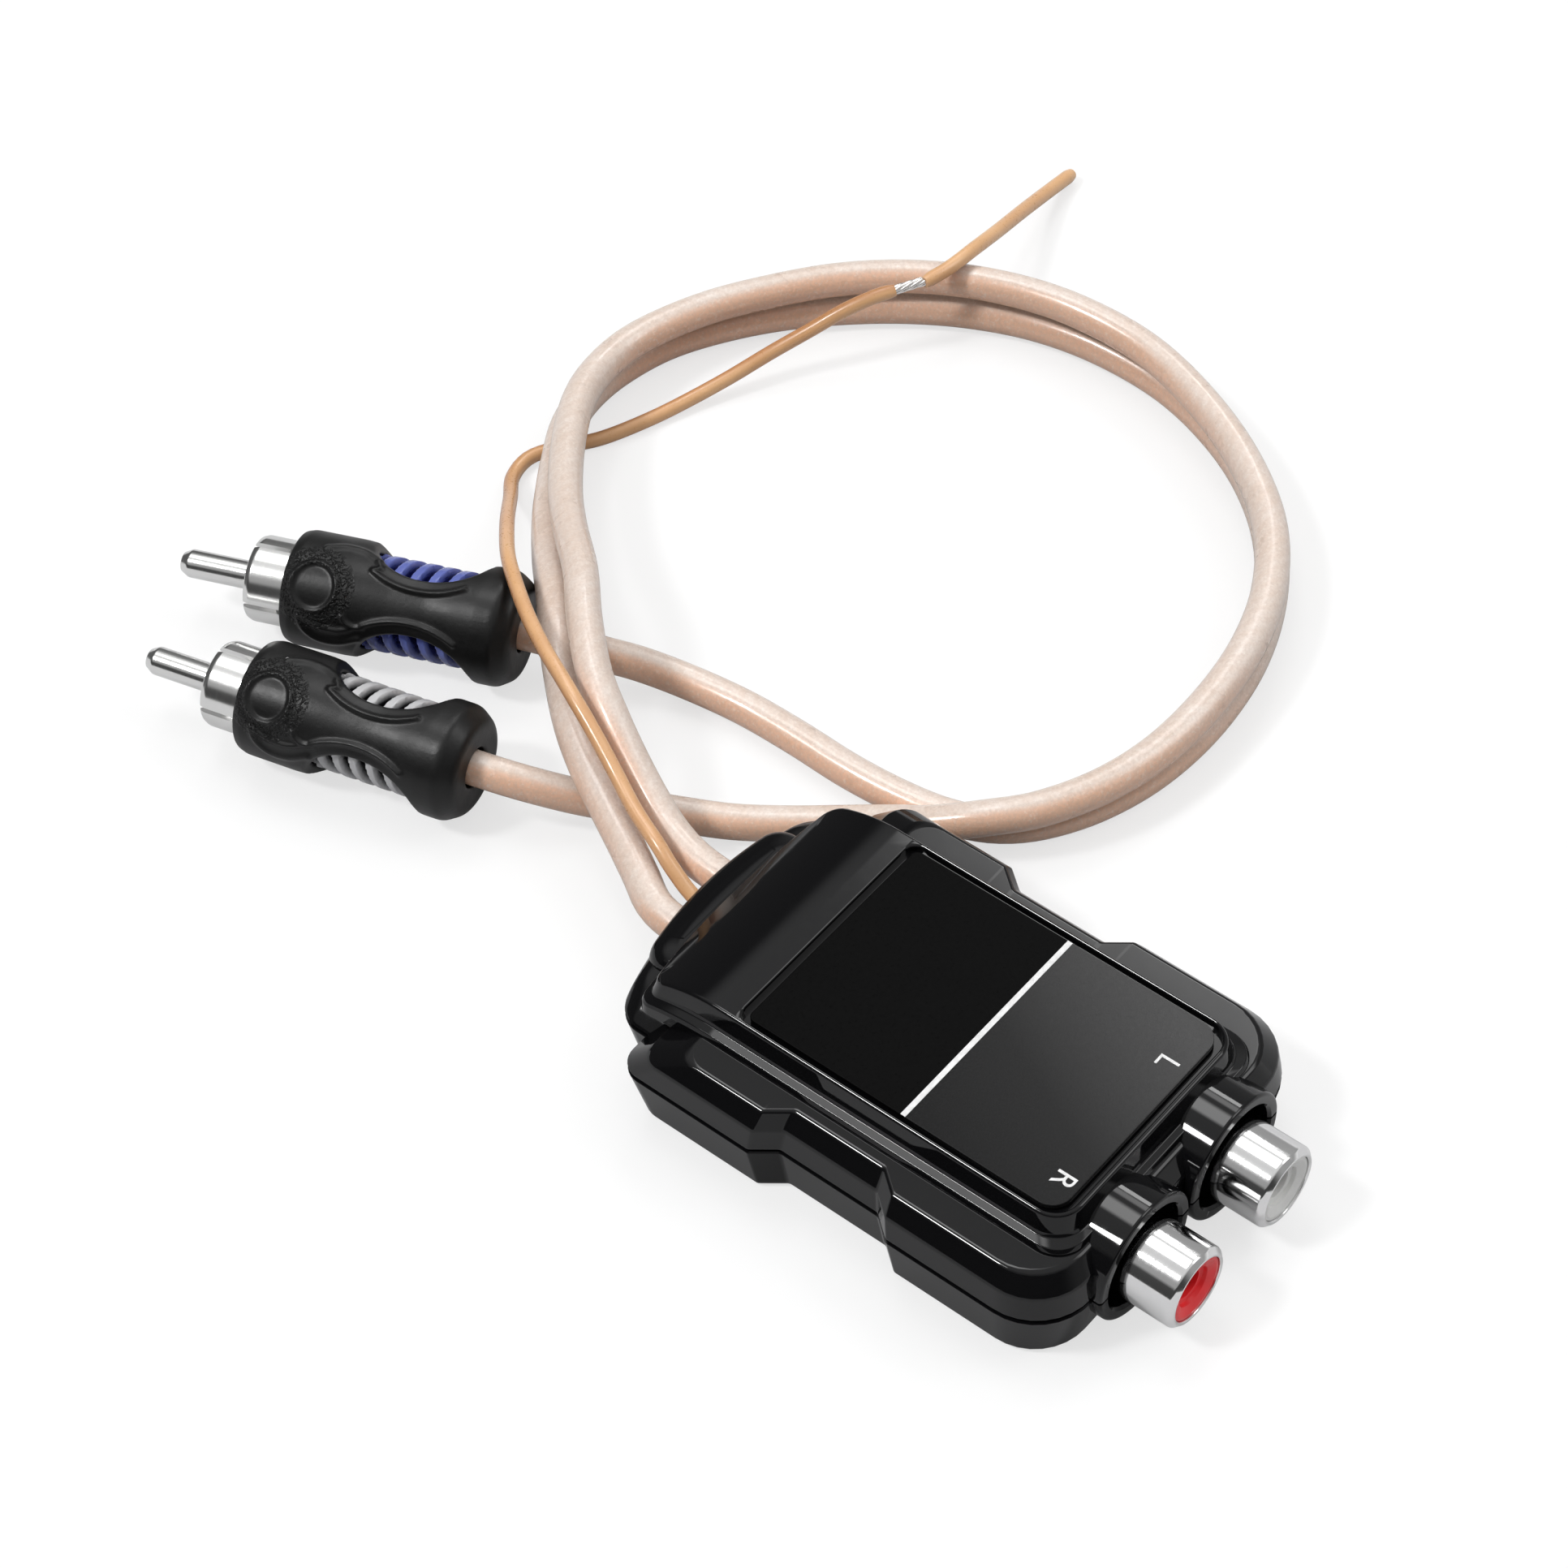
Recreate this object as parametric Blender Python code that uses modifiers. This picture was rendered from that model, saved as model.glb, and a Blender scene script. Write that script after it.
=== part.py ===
"""Ground loop isolator: a two-channel audio transformer box with two phono jacks,
two signal cables with phono plugs and one earth wire.

Metres, +Z up. The jacks face -Y and the cables leave at +Y. The origin is at the middle
of the housing and jacks, on the surface that the housing stands on.
"""

import bmesh
import bpy
from math import cos, pi, radians, sin
from mathutils import Matrix, Vector

GAP = 0.0003

# Housing, measured from the middle of the label
DECK_DROP = 0.0033
WALL = 0.0018
FLOOR = 0.0016
WING_HALF = 0.0202
WING_FRONT = 0.0229
WING_REAR = 0.0282
WING_CORNER = 0.0064
WAIST_DEPTH = 0.00185
WAIST_FRONT = -0.0024
WAIST_REAR = 0.01045
WAIST_DRAFT = 0.12
STEP_RUN = 0.0024
DECK_INSET = 0.0017
DECK_REAR_INSET = 0.0063
BASE_INSET = 0.0010
BASE_ROUND = 0.0012
GROOVE = 0.0002
NOSE_HALF = 0.0157
NOSE_REAR = 0.0348
NOSE_ROOF = 0.0010
NOSE_START = 0.0180
NOSE_CORNER = 0.0020
NOSE_BOW = 0.0030
CREST_HALF = 0.0106

# Raised top with the label
PLATEAU_HALF = 0.0137
PLATEAU_FRONT = 0.0194
PLATEAU_REAR = 0.0304
PLATEAU_CORNER = 0.0032
PLATEAU_END_CORNER = 0.0014
PLATEAU_BOW = 0.0014
PLATEAU_DROP = 0.0034
PLATEAU_BEND = 0.0206
PLATEAU_STEP = 0.0011
LABEL_MARGIN = 0.00095
LABEL_LENGTH = 0.0361
LABEL_CORNER = 0.0020
LABEL_THICK = 0.0005
LABEL_SUNK = 0.0001
RECESS_SIDE = 0.0005
RECESS_END = 0.0008

# Phono jacks
JACK_PITCH = 0.0140
JACK_FACE = 0.02985
HOOD_RADIUS = 0.00685
HOOD_LIFT = 0.00005
HOOD_BORE = 0.00545
HOOD_FRONT = 0.0239
BULKHEAD_FRONT = 0.0199
BULKHEAD_THICK = 0.0020
BARREL_RADIUS = 0.0043
BARREL_BORE = 0.00345
BARREL_LIP = 0.0006
SHANK_RADIUS = 0.0034
SHANK_LENGTH = 0.0046
SOCKET_RADIUS = 0.0021
SOCKET_BORE = 0.0016
SOCKET_DEPTH = 0.0080
SOCKET_TAIL = 0.0034
TAIL_RADIUS = 0.0006
TAG_WIDTH = 0.0016
TAG_THICK = 0.0005
TAG_RADIUS = 0.0049
TAG_ROOM = 0.0012
TAG_LEG = 0.0050

# Inside
CHAMBER_SIDE = 0.0016
CHAMBER_ROOF = 0.0022
CHAMBER_REAR = 0.0028
CHAMBER_END = 0.0062
BOARD_CLEAR = 0.0006
BOARD_FRONT = 0.0100
BOARD_REAR = 0.0200
BOARD_THICK = 0.0012
BOARD_RISE = 0.0009
RIB_WIDTH = 0.0012
CORE_WIDTH = 0.0112
CORE_STACK = 0.0046
CORE_CLEAR = 0.0004
CORE_LIMB = 0.0030
CORE_YOKE = 0.0015
CORE_PITCH = 0.0119
CORE_Y = 0.0052
BOBBIN_WALL = 0.0005
BOBBIN_REACH = 0.0045

# Screws
SCREW_INSET = 0.0046
SCREW_FRONT = 0.0135
SCREW_REAR = 0.0200
SCREW_HEAD = 0.0023
SCREW_HEAD_THICK = 0.0012
SCREW_SUNK = 0.0004
SCREW_SHANK = 0.0011
SCREW_COVER = 0.0021
BOSS_RADIUS = 0.0032
PILOT_BOSS = 0.0024

# Cords and their clamp
CABLE_RADIUS = 0.00185
WIRE_RADIUS = 0.0008
STRAND_RADIUS = 0.00055
CABLE_X = 0.0036
GROMMET_HALF = 0.0069
GROMMET_HIGH = 0.0029
GROMMET_FRONT = 0.0262
GROMMET_LENGTH = 0.0052

# Phono plugs, measured from the front face of the boot
PLUG_AXIS_Z = 0.0062
BOOT_RADIUS = 0.00605
BOOT_LENGTH = 0.0248
BOOT_LIP = 0.0005
WINDOW_MID = 0.0142
WINDOW_LONG = 0.0069
WINDOW_WIDE = 0.0046
WINDOW_OUT = 0.0075
COVER_START = 0.0085
COVER_END = 0.0222
COVER_RADIUS = 0.0042
RIB_RADIUS = 0.0050
RIB_PITCH = 0.00195
RIB_COUNT = 5
SHELL_RADIUS = 0.00455
SHELL_WALL = 0.0006
SHELL_OUT = 0.0045
SHELL_IN = 0.0078
SLOT_WIDTH = 0.0007
SLOT_DEPTH = 0.0041
SLOT_TURN = 45.0
PIN_RADIUS = 0.0015
PIN_TIP = 0.0128
PIN_TAPER = 0.0007
PIN_BACK = 0.0070
CORE_FACE = 0.0012
CORE_BACK = 0.0060
BLUE_PLUG = (0.00716, 0.09511, 22.2)
CLEAR_PLUG = (-0.00635, 0.08789, 14.4)

# Sizes that follow from the ones above
PARTING_Z = HOOD_RADIUS + HOOD_LIFT
CHAMBER_TOP = PARTING_Z + TAG_RADIUS + TAG_ROOM
HEIGHT = CHAMBER_TOP + CHAMBER_ROOF
DECK_Z = HEIGHT - DECK_DROP
NOSE_TOP_Z = PARTING_Z + GROMMET_HIGH + GAP + NOSE_ROOF
LABEL_HALF = PLATEAU_HALF - LABEL_MARGIN
SCREW_X = WING_HALF - SCREW_INSET
SCREW_TOP = DECK_Z - SCREW_COVER
BOARD_HALF = SCREW_X - BOSS_RADIUS - BOARD_CLEAR

# Routes in millimetres from the middle of the label, with the floor at zero
ROUTE_LEFT = (
    (3.6, 23.0, 6.9), (3.6, 31.0, 6.9), (3.6, 35.4, 6.9), (4.0, 39.2, 6.9), (5.1, 43.0, 7.1),
    (6.6, 46.8, 8.0), (8.2, 50.6, 9.5), (10.0, 54.4, 11.2), (12.7, 58.9, 12.5), (17.3, 64.1, 13.1),
    (22.4, 69.1, 12.5), (27.6, 75.2, 10.8), (32.1, 79.8, 9.6), (38.0, 84.6, 8.6), (44.3, 88.6, 7.7),
    (50.1, 90.5, 6.9), (56.2, 90.6, 6.4), (63.4, 88.4, 6.1), (69.6, 84.9, 6.0), (76.6, 79.5, 6.0),
    (82.2, 73.0, 6.0), (86.3, 65.3, 6.0), (88.6, 56.4, 6.0), (88.5, 46.2, 6.0), (85.5, 36.3, 6.0),
    (80.9, 27.5, 6.0), (75.1, 20.4, 6.0), (68.1, 15.5, 6.0), (60.4, 12.6, 6.0), (52.0, 11.3, 6.0),
    (43.6, 11.4, 6.0), (36.3, 13.1, 6.0), (30.1, 16.2, 6.0), (26.1, 19.8, 5.8), (23.2, 24.3, 4.4),
    (21.6, 28.4, 3.0), (19.1, 32.6, 2.2), (15.9, 37.0, 1.95), (12.7, 41.6, 1.95), (9.9, 46.4, 2.3),
    (7.2, 50.6, 3.1), (4.3, 54.9, 4.2), (1.6, 59.3, 5.6), (-0.2, 63.9, 6.2), (-1.75, 70.0, 6.2),
    (-4.0, 78.75, 6.2),
)
ROUTE_RIGHT = (
    (-3.6, 23.0, 6.9), (-3.6, 31.0, 6.9), (-3.6, 35.4, 6.9), (-2.9, 38.4, 6.9), (-1.2, 41.3, 7.0),
    (0.9, 45.1, 7.2), (3.1, 49.4, 7.7), (5.4, 53.9, 8.4), (8.3, 58.4, 9.1), (12.0, 62.8, 9.7),
    (15.4, 66.4, 10.2), (20.2, 71.1, 9.4), (25.0, 76.0, 7.4), (30.4, 80.9, 5.8), (35.2, 84.6, 4.6),
    (39.0, 87.2, 4.1), (43.4, 89.8, 3.8), (48.6, 91.6, 2.9), (54.4, 92.1, 2.1), (60.9, 90.7, 1.9),
    (67.0, 87.4, 1.9), (72.6, 83.1, 1.9), (77.5, 78.1, 1.9), (81.7, 72.7, 1.9), (85.2, 66.7, 1.9),
    (87.8, 59.9, 1.9), (89.0, 52.2, 1.9), (88.6, 43.5, 1.9), (86.2, 35.3, 1.9), (82.2, 27.7, 1.9),
    (76.5, 21.1, 1.9), (69.3, 16.2, 1.9), (61.3, 13.0, 1.9), (52.4, 11.6, 1.9), (44.2, 12.0, 1.9),
    (37.3, 13.9, 1.9), (31.9, 16.9, 1.9), (28.5, 20.4, 1.9), (26.5, 24.8, 1.9), (25.5, 30.0, 1.9),
    (25.1, 36.5, 1.9), (25.3, 43.5, 1.9), (25.2, 50.3, 1.9), (24.2, 56.7, 2.2), (22.5, 61.7, 3.1),
    (20.5, 65.3, 4.1), (18.5, 68.5, 5.3), (16.5, 72.1, 6.2), (14.2, 77.8, 6.2), (10.8, 86.2, 6.2),
)
ROUTE_EARTH = (
    (0.0, 24.0, 6.9), (0.0, 31.0, 6.9), (0.0, 35.3, 6.9), (0.4, 38.5, 8.7), (1.2, 41.0, 9.8),
    (2.8, 45.2, 10.4), (4.8, 49.5, 11.4), (6.5, 53.6, 12.9), (7.8, 56.9, 13.9), (9.2, 60.1, 14.3),
    (11.0, 63.9, 14.3), (13.4, 68.1, 14.0), (16.4, 72.5, 13.5), (20.0, 76.9, 11.9), (25.9, 82.6, 8.0),
    (32.1, 88.1, 3.1), (35.9, 91.3, 1.1), (39.3, 92.0, 0.8), (42.5, 90.4, 0.8), (46.3, 87.7, 0.8),
    (51.5, 85.4, 0.9), (56.2, 83.6, 1.3), (60.8, 81.6, 2.3), (65.2, 79.4, 3.9), (69.1, 76.8, 5.9),
    (72.1, 74.7, 7.6), (74.7, 72.7, 8.8), (76.7, 71.2, 9.2),
)
ROUTE_STRANDS = ((77.0, 71.0, 9.25), (79.2, 69.6, 9.25))
ROUTE_SLUG = (
    (79.5, 69.4, 9.25), (83.1, 68.7, 9.2), (87.4, 68.7, 8.7), (93.0, 69.6, 6.8), (98.9, 70.8, 4.6),
    (104.9, 71.9, 2.4), (110.3, 72.5, 0.9),
)

BLACK = (0.012, 0.012, 0.013)
COLLECTION = "ground_loop_isolator"


def clear_scene():
    for old in list(bpy.data.objects):
        bpy.data.objects.remove(old)


def new_collection(name):
    made = bpy.data.collections.new(name)
    bpy.context.scene.collection.children.link(made)
    return made


def material(name, colour, roughness, metallic=0.0):
    made = bpy.data.materials.get(name)
    if made is None:
        made = bpy.data.materials.new(name)
        made.use_nodes = True
        shader = made.node_tree.nodes["Principled BSDF"]
        shader.inputs["Base Color"].default_value = (*colour, 1.0)
        shader.inputs["Roughness"].default_value = roughness
        shader.inputs["Metallic"].default_value = metallic
        made.diffuse_color = (*colour, 1.0)
    return made


def housing_plastic(name):
    return material(name, BLACK, 0.12)


def nickel(name):
    return material(name, (0.78, 0.77, 0.75), 0.18, 1.0)


class Build:
    """Holds the two collections and the empties that the pieces hang on."""

    def __init__(self):
        self.parts = new_collection(COLLECTION)
        self.cutters = new_collection("cutters")
        self.root = self.empty("isolator_frame", Matrix.Translation((0, (JACK_FACE - NOSE_REAR) / 2, 0)))

    def empty(self, name, matrix, parent=None):
        made = bpy.data.objects.new(name, None)
        made.empty_display_size = 0.01
        self.parts.objects.link(made)
        made.parent = parent
        made.matrix_local = matrix
        return made

    def add(self, made, paint, parent=None):
        self.parts.objects.link(made)
        made.parent = parent or self.root
        if paint is not None:
            made.data.materials.clear()
            made.data.materials.append(paint)
        return made

    def tool(self, made, parent=None):
        self.cutters.objects.link(made)
        made.parent = parent or self.root
        made.hide_render = True
        made.display_type = "WIRE"
        return made


def mesh_object(name, bm, smooth=40.0):
    bmesh.ops.recalc_face_normals(bm, faces=bm.faces)
    mesh = bpy.data.meshes.new(name)
    bm.to_mesh(mesh)
    bm.free()
    mesh.shade_smooth()
    mesh.set_sharp_from_angle(angle=radians(smooth))
    return bpy.data.objects.new(name, mesh)


def box(name, x, y, z):
    """x, y and z are (low, high)."""
    bm = bmesh.new()
    bmesh.ops.create_cube(bm, size=1.0)
    size = [high - low for low, high in (x, y, z)]
    middle = [(high + low) / 2 for low, high in (x, y, z)]
    bmesh.ops.scale(bm, vec=size, verts=bm.verts)
    bmesh.ops.translate(bm, vec=middle, verts=bm.verts)
    return mesh_object(name, bm)


def rod(name, radius, start, end, sides=32, wide=1.0):
    """A straight round bar between two points, wide stretches it across its first side axis."""
    start, end = Vector(start), Vector(end)
    run = end - start
    bm = bmesh.new()
    bmesh.ops.create_cone(
        bm, cap_ends=True, segments=sides, radius1=radius, radius2=radius, depth=run.length
    )
    bmesh.ops.scale(bm, vec=(wide, 1, 1), verts=bm.verts)
    turn = Vector((0, 0, 1)).rotation_difference(run).to_matrix().to_4x4()
    bmesh.ops.transform(bm, matrix=Matrix.Translation((start + end) / 2) @ turn, verts=bm.verts)
    return mesh_object(name, bm)


def turned(name, profile, steps=32, ring=False):
    """profile is (radius, height) down the outer side from the top, then up the bore for a ring."""
    mesh = bpy.data.meshes.new(name)
    count = len(profile)
    edges = [(i, i + 1) for i in range(count - 1)]
    if ring:
        edges.append((count - 1, 0))
    mesh.from_pydata([(r, 0, z) for r, z in profile], edges, [])
    made = bpy.data.objects.new(name, mesh)
    screw = made.modifiers.new("turn", "SCREW")
    screw.angle = 2 * pi
    screw.steps = steps
    screw.render_steps = steps
    screw.use_merge_vertices = True
    screw.merge_threshold = 0.00001
    screw.use_smooth_shade = True
    return made


def join(target, kind, others):
    for other in others:
        step = target.modifiers.new(other.name, "BOOLEAN")
        step.operation = kind
        step.object = other
        step.solver = "EXACT"


def arc(cx, cy, radius, start, end, count):
    """Points of an arc in degrees, both ends included."""
    points = []
    for i in range(count + 1):
        angle = radians(start + (end - start) * i / count)
        points.append((cx + radius * cos(angle), cy + radius * sin(angle)))
    return points


def loft(name, rings):
    """A body symmetric about x = 0 through half outlines, each from its front to its rear."""
    bm = bmesh.new()
    right = [[bm.verts.new(point) for point in ring] for ring in rings]
    left = [[bm.verts.new((-x, y, z)) for x, y, z in ring] for ring in rings]
    count = len(rings[0])
    for low in range(len(rings) - 1):
        a, b, c, d = right[low], right[low + 1], left[low], left[low + 1]
        for i in range(count - 1):
            bm.faces.new((a[i], a[i + 1], b[i + 1], b[i]))
            bm.faces.new((c[i + 1], c[i], d[i], d[i + 1]))
        bm.faces.new((c[0], a[0], b[0], d[0]))
        bm.faces.new((a[-1], c[-1], d[-1], b[-1]))
    for end in (0, -1):
        r, l = right[end], left[end]
        for i in range(count - 1):
            bm.faces.new((r[i], l[i], l[i + 1], r[i + 1]))
    return mesh_object(name, bm)


def wing_ring(z, inset, rear_inset, wall=0.0):
    """Half outline of the four wings and the waist, inset all round."""
    half = WING_HALF - inset - wall
    waist = half - WAIST_DEPTH
    front = -WING_FRONT + inset + wall
    rear = WING_REAR - rear_inset - wall
    corner = WING_CORNER - inset / 2 - wall
    tail = 0.0024
    spread = WAIST_DRAFT * (DECK_Z - max(z, PARTING_Z))
    points = arc(half - corner, front + corner, corner, -90, 0, 6)
    points += [
        (half, WAIST_FRONT - spread - STEP_RUN / 2),
        (waist, WAIST_FRONT - spread + STEP_RUN / 2),
        (waist, WAIST_REAR + spread - STEP_RUN / 2),
        (half, WAIST_REAR + spread + STEP_RUN / 2),
    ]
    points += arc(half - tail, rear - tail, tail, 0, 90, 3)
    return [(x, y, z) for x, y in points]


def bowed_end(half, rear, corner, bow):
    """Right half of a rear edge that bows out in the middle, from its side to the middle."""
    points = arc(half - corner, rear - corner, corner, 0, 90, 4)
    points += [(half * share, rear) for share in (0.65, 0.45, 0.27, 0.1)]
    return [(x, y - bow * (x / half) ** 2) for x, y in points]


def nose_ring(z, inset, rear_inset):
    half = NOSE_HALF - inset
    points = [(half, NOSE_START)] + bowed_end(half, NOSE_REAR - rear_inset, NOSE_CORNER, NOSE_BOW)
    return [(x, y, z) for x, y in points]


def crest_ring(z, inset, rear_inset):
    """Half outline of the nose's raised middle, over the cables."""
    half = CREST_HALF - inset
    bow = NOSE_BOW * (half / NOSE_HALF) ** 2
    points = [(half, NOSE_START)] + bowed_end(half, NOSE_REAR - rear_inset, NOSE_CORNER, bow)
    return [(x, y, z) for x, y in points]


def plateau_ring(z, spread, falls):
    """Half outline of the raised top; falls says how far its rear bends down."""
    half = PLATEAU_HALF + spread
    front = -PLATEAU_FRONT - spread * 0.9
    rear = PLATEAU_REAR + spread * 0.4
    run = rear - PLATEAU_END_CORNER - PLATEAU_BOW - PLATEAU_BEND
    points = arc(half - PLATEAU_CORNER, front + PLATEAU_CORNER, PLATEAU_CORNER, -90, 0, 5)
    points += [(half, PLATEAU_BEND + run * share) for share in (0.0, 0.25, 0.45, 0.65, 0.83)]
    points += bowed_end(half, rear, PLATEAU_END_CORNER, PLATEAU_BOW)
    ring = []
    for x, y in points:
        share = max(0.0, y - PLATEAU_BEND) / (PLATEAU_REAR - PLATEAU_BEND)
        ring.append((x, y, z - falls * PLATEAU_DROP * share**2))
    return ring


def outline_curve(name, points, low, high):
    """A flat plate from a closed outline."""
    curve = bpy.data.curves.new(name, "CURVE")
    curve.dimensions = "2D"
    curve.fill_mode = "BOTH"
    curve.extrude = (high - low) / 2
    line = curve.splines.new("POLY")
    line.points.add(len(points) - 1)
    for spot, (x, y) in zip(line.points, points):
        spot.co = (x, y, 0, 1)
    line.use_cyclic_u = True
    made = bpy.data.objects.new(name, curve)
    made.location.z = (high + low) / 2
    return made


def curve_to_mesh(build, made):
    """The same shape as a mesh with welded caps, so that it can cut."""
    bpy.context.scene.collection.objects.link(made)
    bpy.context.view_layer.update()
    mesh = bpy.data.meshes.new_from_object(made.evaluated_get(bpy.context.evaluated_depsgraph_get()))
    bm = bmesh.new()
    bm.from_mesh(mesh)
    bmesh.ops.remove_doubles(bm, verts=bm.verts, dist=0.000001)
    bm.to_mesh(mesh)
    bm.free()
    name = made.name
    place = made.matrix_world.copy()
    bpy.data.objects.remove(made)
    solid = bpy.data.objects.new(name, mesh)
    solid.matrix_world = place
    return solid


def rounded(half_x, half_y, radius):
    points = arc(half_x - radius, radius - half_y, radius, -90, 0, 4)
    points += arc(half_x - radius, half_y - radius, radius, 0, 90, 4)
    points += arc(radius - half_x, half_y - radius, radius, 90, 180, 4)
    points += arc(radius - half_x, radius - half_y, radius, 180, 270, 4)
    return points


def mirrored_x(value):
    return (("right", -value), ("left", value))


def shared_openings(build):
    """Cutters that pass through both halves of the housing."""
    tools = []
    for side, x in mirrored_x(JACK_PITCH / 2):
        mouth = rod(
            f"hood_bore_{side}",
            HOOD_BORE,
            (x, -HOOD_FRONT - 0.001, PARTING_Z),
            (x, -BULKHEAD_FRONT, PARTING_Z),
            32,
        )
        hole = rod(
            f"shank_hole_{side}",
            SHANK_RADIUS + GAP,
            (x, -BULKHEAD_FRONT - 0.001, PARTING_Z),
            (x, -BULKHEAD_FRONT + BULKHEAD_THICK + 0.001, PARTING_Z),
            16,
        )
        tools += [build.tool(mouth), build.tool(hole)]
    pocket = box(
        "grommet_pocket",
        (-GROMMET_HALF - GAP, GROMMET_HALF + GAP),
        (GROMMET_FRONT - 0.004, GROMMET_FRONT + GROMMET_LENGTH + GAP),
        (PARTING_Z - GROMMET_HIGH - GAP, PARTING_Z + GROMMET_HIGH + GAP),
    )
    tools.append(build.tool(pocket))
    for name, x, radius in cord_places():
        hole = rod(
            f"exit_{name}",
            radius + GAP,
            (x, GROMMET_FRONT + GROMMET_LENGTH - 0.001, PARTING_Z),
            (x, NOSE_REAR + 0.002, PARTING_Z),
            16,
        )
        tools.append(build.tool(hole))
    return tools


def cord_places():
    return (
        ("cable_left", CABLE_X, CABLE_RADIUS),
        ("earth_wire", 0.0, WIRE_RADIUS),
        ("cable_right", -CABLE_X, CABLE_RADIUS),
    )


def hoods(build, half):
    made = []
    for side, x in mirrored_x(JACK_PITCH / 2):
        hood = rod(
            f"hood_{half}_{side}",
            HOOD_RADIUS,
            (x, -HOOD_FRONT, PARTING_Z),
            (x, -BULKHEAD_FRONT + 0.0015, PARTING_Z),
            40,
        )
        made.append(build.tool(hood))
    return made


def screw_places():
    places = []
    for side, x in mirrored_x(SCREW_X):
        places.append((f"front_{side}", x, -SCREW_FRONT))
        places.append((f"rear_{side}", x, SCREW_REAR))
    return places


def chamber_rings(low, high):
    """Half outlines of the space inside the wings, from (height, inset) pairs."""
    rings = []
    for z, inset in (low, high):
        ring = wing_ring(z, inset, CHAMBER_REAR + inset, WALL)
        front = -BULKHEAD_FRONT + BULKHEAD_THICK
        rings.append([(x, max(y, front + (y + WING_FRONT) * 0.02), h) for x, y, h in ring])
    return rings


def upper_shell(build, openings):
    seam = PARTING_Z + GAP / 2
    body = loft(
        "upper_shell",
        [
            wing_ring(seam - 0.0004, GROOVE * 2, GROOVE * 2),
            wing_ring(seam + GROOVE, 0.0, 0.0),
            wing_ring(DECK_Z - 0.0016, DECK_INSET / 2, DECK_REAR_INSET * 0.45),
            wing_ring(DECK_Z - 0.0003, DECK_INSET * 0.9, DECK_REAR_INSET * 0.95),
            wing_ring(DECK_Z, DECK_INSET * 1.15, DECK_REAR_INSET * 1.05),
        ],
    )
    nose = loft(
        "upper_nose",
        [
            nose_ring(seam - 0.0004, GROOVE * 2, GROOVE * 2),
            nose_ring(seam + GROOVE, 0.0, 0.0),
            nose_ring(seam + 0.0006, 0.0004, 0.0),
            nose_ring(NOSE_TOP_Z - 0.0019, 0.0031, 0.0009),
            nose_ring(NOSE_TOP_Z - 0.0016, 0.0046, 0.0021),
        ],
    )
    crest = loft(
        "upper_nose_crest",
        [
            crest_ring(seam + 0.0003, 0.0005, 0.0006),
            crest_ring(NOSE_TOP_Z - 0.0028, 0.0, 0.00025),
            crest_ring(NOSE_TOP_Z - 0.0013, 0.0003, 0.0005),
            crest_ring(NOSE_TOP_Z - 0.0005, 0.0009, 0.0012),
            crest_ring(NOSE_TOP_Z, 0.0019, 0.0034),
        ],
    )
    top = loft(
        "plateau",
        [
            plateau_ring(DECK_Z - 0.0012, 0.0017, 0.3),
            plateau_ring(DECK_Z + 0.0001, 0.0016, 0.5),
            plateau_ring(DECK_Z + 0.0006, 0.0014, 0.55),
            plateau_ring(DECK_Z + PLATEAU_STEP - 0.0003, 0.0006, 0.6),
            plateau_ring(DECK_Z + PLATEAU_STEP, 0.0005, 0.62),
            plateau_ring(HEIGHT - 0.0003, 0.0001, 0.9),
            plateau_ring(HEIGHT, -0.0002, 1.0),
        ],
    )
    build.add(body, housing_plastic("upper shell plastic"))
    join(body, "UNION", [build.tool(nose), build.tool(crest), build.tool(top)] + hoods(build, "upper"))
    below = box("upper_trim", (-0.05, 0.05), (-0.05, 0.05), (-0.02, seam))
    room = loft("upper_chamber", chamber_rings((seam - 0.001, 0.0), (DECK_Z - WALL, DECK_INSET / 2)))
    dome = box(
        "label_chamber",
        (CHAMBER_SIDE - PLATEAU_HALF, PLATEAU_HALF - CHAMBER_SIDE),
        (-BULKHEAD_FRONT + BULKHEAD_THICK - 0.0001, PLATEAU_REAR - CHAMBER_END),
        (seam, CHAMBER_TOP),
    )
    recess = outline_curve(
        "label_recess",
        rounded(LABEL_HALF + RECESS_SIDE, LABEL_LENGTH / 2 + RECESS_END, LABEL_CORNER + RECESS_SIDE),
        HEIGHT - LABEL_SUNK - LABEL_THICK - GAP,
        HEIGHT + 0.002,
    )
    recess = curve_to_mesh(build, recess)
    join(body, "DIFFERENCE", [build.tool(below), build.tool(room), build.tool(dome), build.tool(recess)])
    join(body, "DIFFERENCE", openings)
    bosses, pilots = [], []
    for name, x, y in screw_places():
        boss = rod(f"pilot_boss_{name}", PILOT_BOSS, (x, y, seam), (x, y, DECK_Z - 0.0010), 16)
        pilot = rod(f"pilot_{name}", SCREW_SHANK + GAP, (x, y, 0), (x, y, SCREW_TOP + GAP), 12)
        bosses.append(build.tool(boss))
        pilots.append(build.tool(pilot))
    join(body, "UNION", bosses)
    join(body, "DIFFERENCE", pilots)
    return body


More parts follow.
